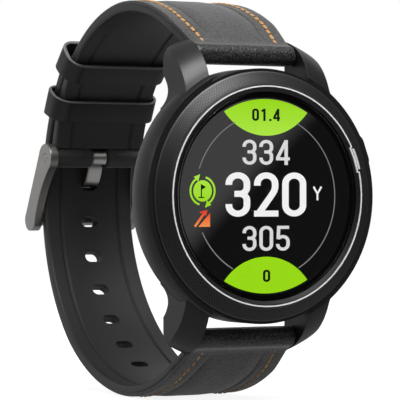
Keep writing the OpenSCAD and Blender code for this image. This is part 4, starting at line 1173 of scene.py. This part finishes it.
class LiningOperator(bpy.types.Operator):
    """Makes the two silicone halves of the strap"""
    bl_idname = "golf_watch.lining"
    bl_label = "Strap lining"
    bl_options = {"REGISTER", "UNDO"}

    def execute(self, context):
        material = silicone_finish("strap_silicone", context.scene.watch_strap.lining, 0.46, 0.45).material
        for half, route in HALVES.items():
            lining_half(half, route, material)
        return {"FINISHED"}


class StitchingOperator(bpy.types.Operator):
    """Sews a seam along both edges of each half"""
    bl_idname = "golf_watch.stitching"
    bl_label = "Stitching"
    bl_options = {"REGISTER", "UNDO"}

    def execute(self, context):
        settings = context.scene.watch_strap
        pitch, length = settings.stitch_pitch / MM, settings.stitch_length / MM
        material = thread_finish(settings)
        for half, route in HALVES.items():
            end, width, sunk = SEAMS[half]
            count = int((route_length(route) - end - SEAM_START) / pitch)
            s = SEAM_START + pitch * np.arange(count)
            x = half_width(along(route, s)[0][:, 0]) - settings.stitch_inset / MM
            rows = [stitch_row(route, s, side * x, length, width, sunk) for side in (1, -1)]
            points, faces = np.concatenate(rows).reshape(-1, 3), stitch_faces(2 * count)
            make_piece("seam_" + half, points, faces, half + "_strap", material, "strap_leather")
        return {"FINISHED"}


class KeepersOperator(bpy.types.Operator):
    """Makes the fixed and the sliding keeper"""
    bl_idname = "golf_watch.keepers"
    bl_label = "Keepers"
    bl_options = {"REGISTER", "UNDO"}

    def execute(self, context):
        for node, (angle, body) in KEEPERS.items():
            material = keeper_finish(node + "_rubber", context.scene.watch_strap, angle)
            grid = keeper_grid(angle)
            faces = loop_faces(*grid.shape[:2])
            piece = make_piece(node + "_band", grid.reshape(-1, 3), faces, body, material, "keeper_black")
            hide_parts(node)
        return {"FINISHED"}


class CaseOperator(bpy.types.Operator):
    """Gives the case, bezel, glass and button their finishes, and the bezel its knurl"""
    bl_idname = "golf_watch.case"
    bl_label = "Case finishes"
    bl_options = {"REGISTER", "UNDO"}

    def execute(self, context):
        settings = context.scene.watch_case
        coat = grained("case_black", settings.case, 0.14, 0.36, 0.005, 0.1, edge=0.12)
        # The polished ring is given as a plain near-white, partly its own light colour and partly a painted
        # reflection
        trim = grained("trim_silver", settings.trim, 0.3, 0.26, 0.004, 0.03)
        dress(coat.set(Specular_IOR_Level=0.42).material, ["case_body", "button_cap"])
        dress(trim.set(Specular_IOR_Level=0.8).material, ["trim_ring"])
        dress(knurl_finish("bezel_black", settings, 0.09), ["bezel"])
        dress(glass_finish(), ["crystal"])
        dress(panel_finish(context.scene.watch_display), ["display_panel"])
        dress_plain(CASE_FINISHES)
        points = knurl_finish("knurl_points", settings, 0.0)
        knurl_band("bezel_knurl", "case", points, settings.knurl_pitch / MM)
        return {"FINISHED"}


class BuckleOperator(bpy.types.Operator):
    """Gives the buckle and its pin their steel, and makes the tang"""
    bl_idname = "golf_watch.buckle"
    bl_label = "Buckle steel"
    bl_options = {"REGISTER", "UNDO"}

    def execute(self, context):
        colour = context.scene.watch_case.steel
        steel = grained("buckle_steel", colour, 0.12, 0.4, 0.008, 0.08, 1.0, edge=0.3)
        # The tang takes the buckle's steel made half again lighter: painted light that makes it read
        # brighter than the frame
        tang_steel = grained("tang_steel", scaled(colour, 1.5), 0.2, 0.34, 0.006, 0.08, 1.0)
        dress(steel.material, ["buckle_frame", "buckle_pin"])
        tang_strip("tang_bent", "buckle_tang", "tang", tang_steel.material)
        return {"FINISHED"}


class InnerOperator(bpy.types.Operator):
    """Gives the pieces inside the case and the spring bars their finishes"""
    bl_idname = "golf_watch.inner"
    bl_label = "Inner finishes"
    bl_options = {"REGISTER", "UNDO"}

    def execute(self, context):
        dress(board_finish(), ["main_board"])
        dress_plain(INNER_FINISHES)
        return {"FINISHED"}


class DisplayOperator(bpy.types.Operator):
    """Draws the lit picture of the display"""
    bl_idname = "golf_watch.display"
    bl_label = "Display picture"
    bl_options = {"REGISTER", "UNDO"}

    def execute(self, context):
        c = context.scene.watch_display
        lit = {
            "top": lit_finish("segment_top_lime", c.lime_light, c.lime, SEGMENT_GRADE, LIT_R),
            "bottom": lit_finish("segment_bottom_lime", c.lime, c.lime, -LIT_R, -SEGMENT_GRADE),
            "white": lit_finish("digits_white", scaled(c.digits, 0.97), c.digits, -4, 4),
            "grey": lit_finish("digits_grey", scaled(c.small_digits, 0.95), c.small_digits, -10, 10),
            "dark": lit_finish("digits_dark", (0.004, 0.006, 0.002), (0.006, 0.01, 0.003), -14, 14),
            "line": lit_finish("line_grey", c.line, scaled(c.line, 0.8), -12, 12),
            "lime": lit_finish("symbol_lime", c.lime, c.lime_light, -2, 4),
            "slope": lit_finish("slope_orange", c.slope_light, c.slope, -5.2, -2.8),
        }
        draw_area("segment_top", segment_grid(1), lit["top"])
        draw_area("segment_bottom", segment_grid(-1), lit["bottom"])
        depths = {"dark": LETTER_Y}
        for name, (finish, *number) in NUMBERS.items():
            draw_strokes(name, number_strokes(*number), lit[finish], depths.get(finish, PICTURE_Y), STEM)
        arcs = [bow(*SYMBOL, ARC_R, start, start - ARC_SPAN, ARC_POINTS) for start in ARC_STARTS]
        heads = [([arc[-1], 2 * arc[-1] - arc[-1 - ARROW_POINTS]], ARROW_T) for arc in arcs]
        stretches = [(bow(0, 0, DIAL_R, *stretch), DIAL_T) for stretch in DIAL_STRETCHES]
        curves = {"dial_line": ("line", *stretches),
                  "symbol_arcs": ("lime", *((arc, ARC_T) for arc in arcs), *heads)}
        for name, (finish, *lines) in {**MARKS, **curves}.items():
            strokes = [(*line, False) for line in lines]
            draw_strokes(name, strokes, lit[finish], depths.get(finish, PICTURE_Y))
        turn = np.linspace(0, TURN, DISC_POINTS, endpoint=False)[:, None]
        radius = np.linspace(DISC_HOLE, DISC_R, DISC_RINGS)
        disc = np.stack((SYMBOL[0] + np.cos(turn) * radius, SYMBOL[1] + np.sin(turn) * radius), -1)
        draw_area("symbol_disc", disc, lit["lime"], ring=True)
        u, v = (np.linspace(start, 1, WEDGE_POINTS) for start in (WEDGE_START, 0))
        u, v = np.meshgrid(u, v, indexing="ij")
        wedge = np.stack((WEDGE_TIP[0] + WEDGE_SIZE[0] * u, WEDGE_TIP[1] + WEDGE_SIZE[1] * u * v), -1)
        draw_area("slope_wedge", wedge, lit["slope"])
        return {"FINISHED"}


class StageOperator(bpy.types.Operator):
    """Sets the camera, the lights, the world and the floor"""
    bl_idname = "golf_watch.stage"
    bl_label = "Studio"
    bl_options = {"REGISTER", "UNDO"}

    def execute(self, context):
        scene, settings = context.scene, context.scene.watch_stage
        scene.view_settings.view_transform = "Standard"
        scene.world = studio_world(settings)
        for name, (power, place, target, size, mirrored) in LIGHTS.items():
            area_light(scene, name, place, target, size, getattr(settings, power), mirrored)
        data = bpy.data.cameras.new("photo_camera")
        data.sensor_width, data.lens = SENSOR, settings.lens
        data.clip_start, data.clip_end = CLIP_START, CLIP_END
        camera = bpy.data.objects.new("photo_camera", data)
        scene.collection.objects.link(camera)
        shift = Vector(CAMERA_RIGHT) * AIM_RIGHT + Vector((0, 0, AIM_UP))
        aim(camera, CAMERA_PLACE, Vector(DIAL_FRONT) + shift)
        scene.camera = camera
        studio_floor(scene, settings)
        return {"FINISHED"}


STEPS = (LeatherOperator, LiningOperator, StitchingOperator, KeepersOperator, CaseOperator, BuckleOperator,
         InnerOperator, DisplayOperator, StageOperator)
GROUPS = {"watch_strap": StrapSettings, "watch_case": CaseSettings, "watch_display": DisplaySettings,
          "watch_stage": StageSettings}


class WatchPanel(bpy.types.Panel):
    """Steps and settings of the watch"""
    bl_idname = "VIEW3D_PT_golf_watch"
    bl_label = "Golf watch"
    bl_space_type = "VIEW_3D"
    bl_region_type = "UI"
    bl_category = "Watch"

    def draw(self, context):
        for step in STEPS:
            self.layout.operator(step.bl_idname)
        for group, kind in GROUPS.items():
            box = self.layout.box()
            for name in kind.__annotations__:
                box.prop(getattr(context.scene, group), name)


def register():
    """Registers the settings, the steps and the panel."""
    for kind in (*GROUPS.values(), *STEPS, WatchPanel):
        bpy.utils.register_class(kind)
    for group, kind in GROUPS.items():
        setattr(bpy.types.Scene, group, bpy.props.PointerProperty(type=kind))


def unregister():
    """Takes them out again, in the opposite order."""
    for group in GROUPS:
        delattr(bpy.types.Scene, group)
    for kind in (WatchPanel, *reversed(STEPS), *reversed(tuple(GROUPS.values()))):
        bpy.utils.unregister_class(kind)


def main():
    """Builds the watch."""
    register()
    for step in STEPS:
        getattr(bpy.ops.golf_watch, step.bl_idname.split(".")[1])()


if __name__ == "__main__":
    main()
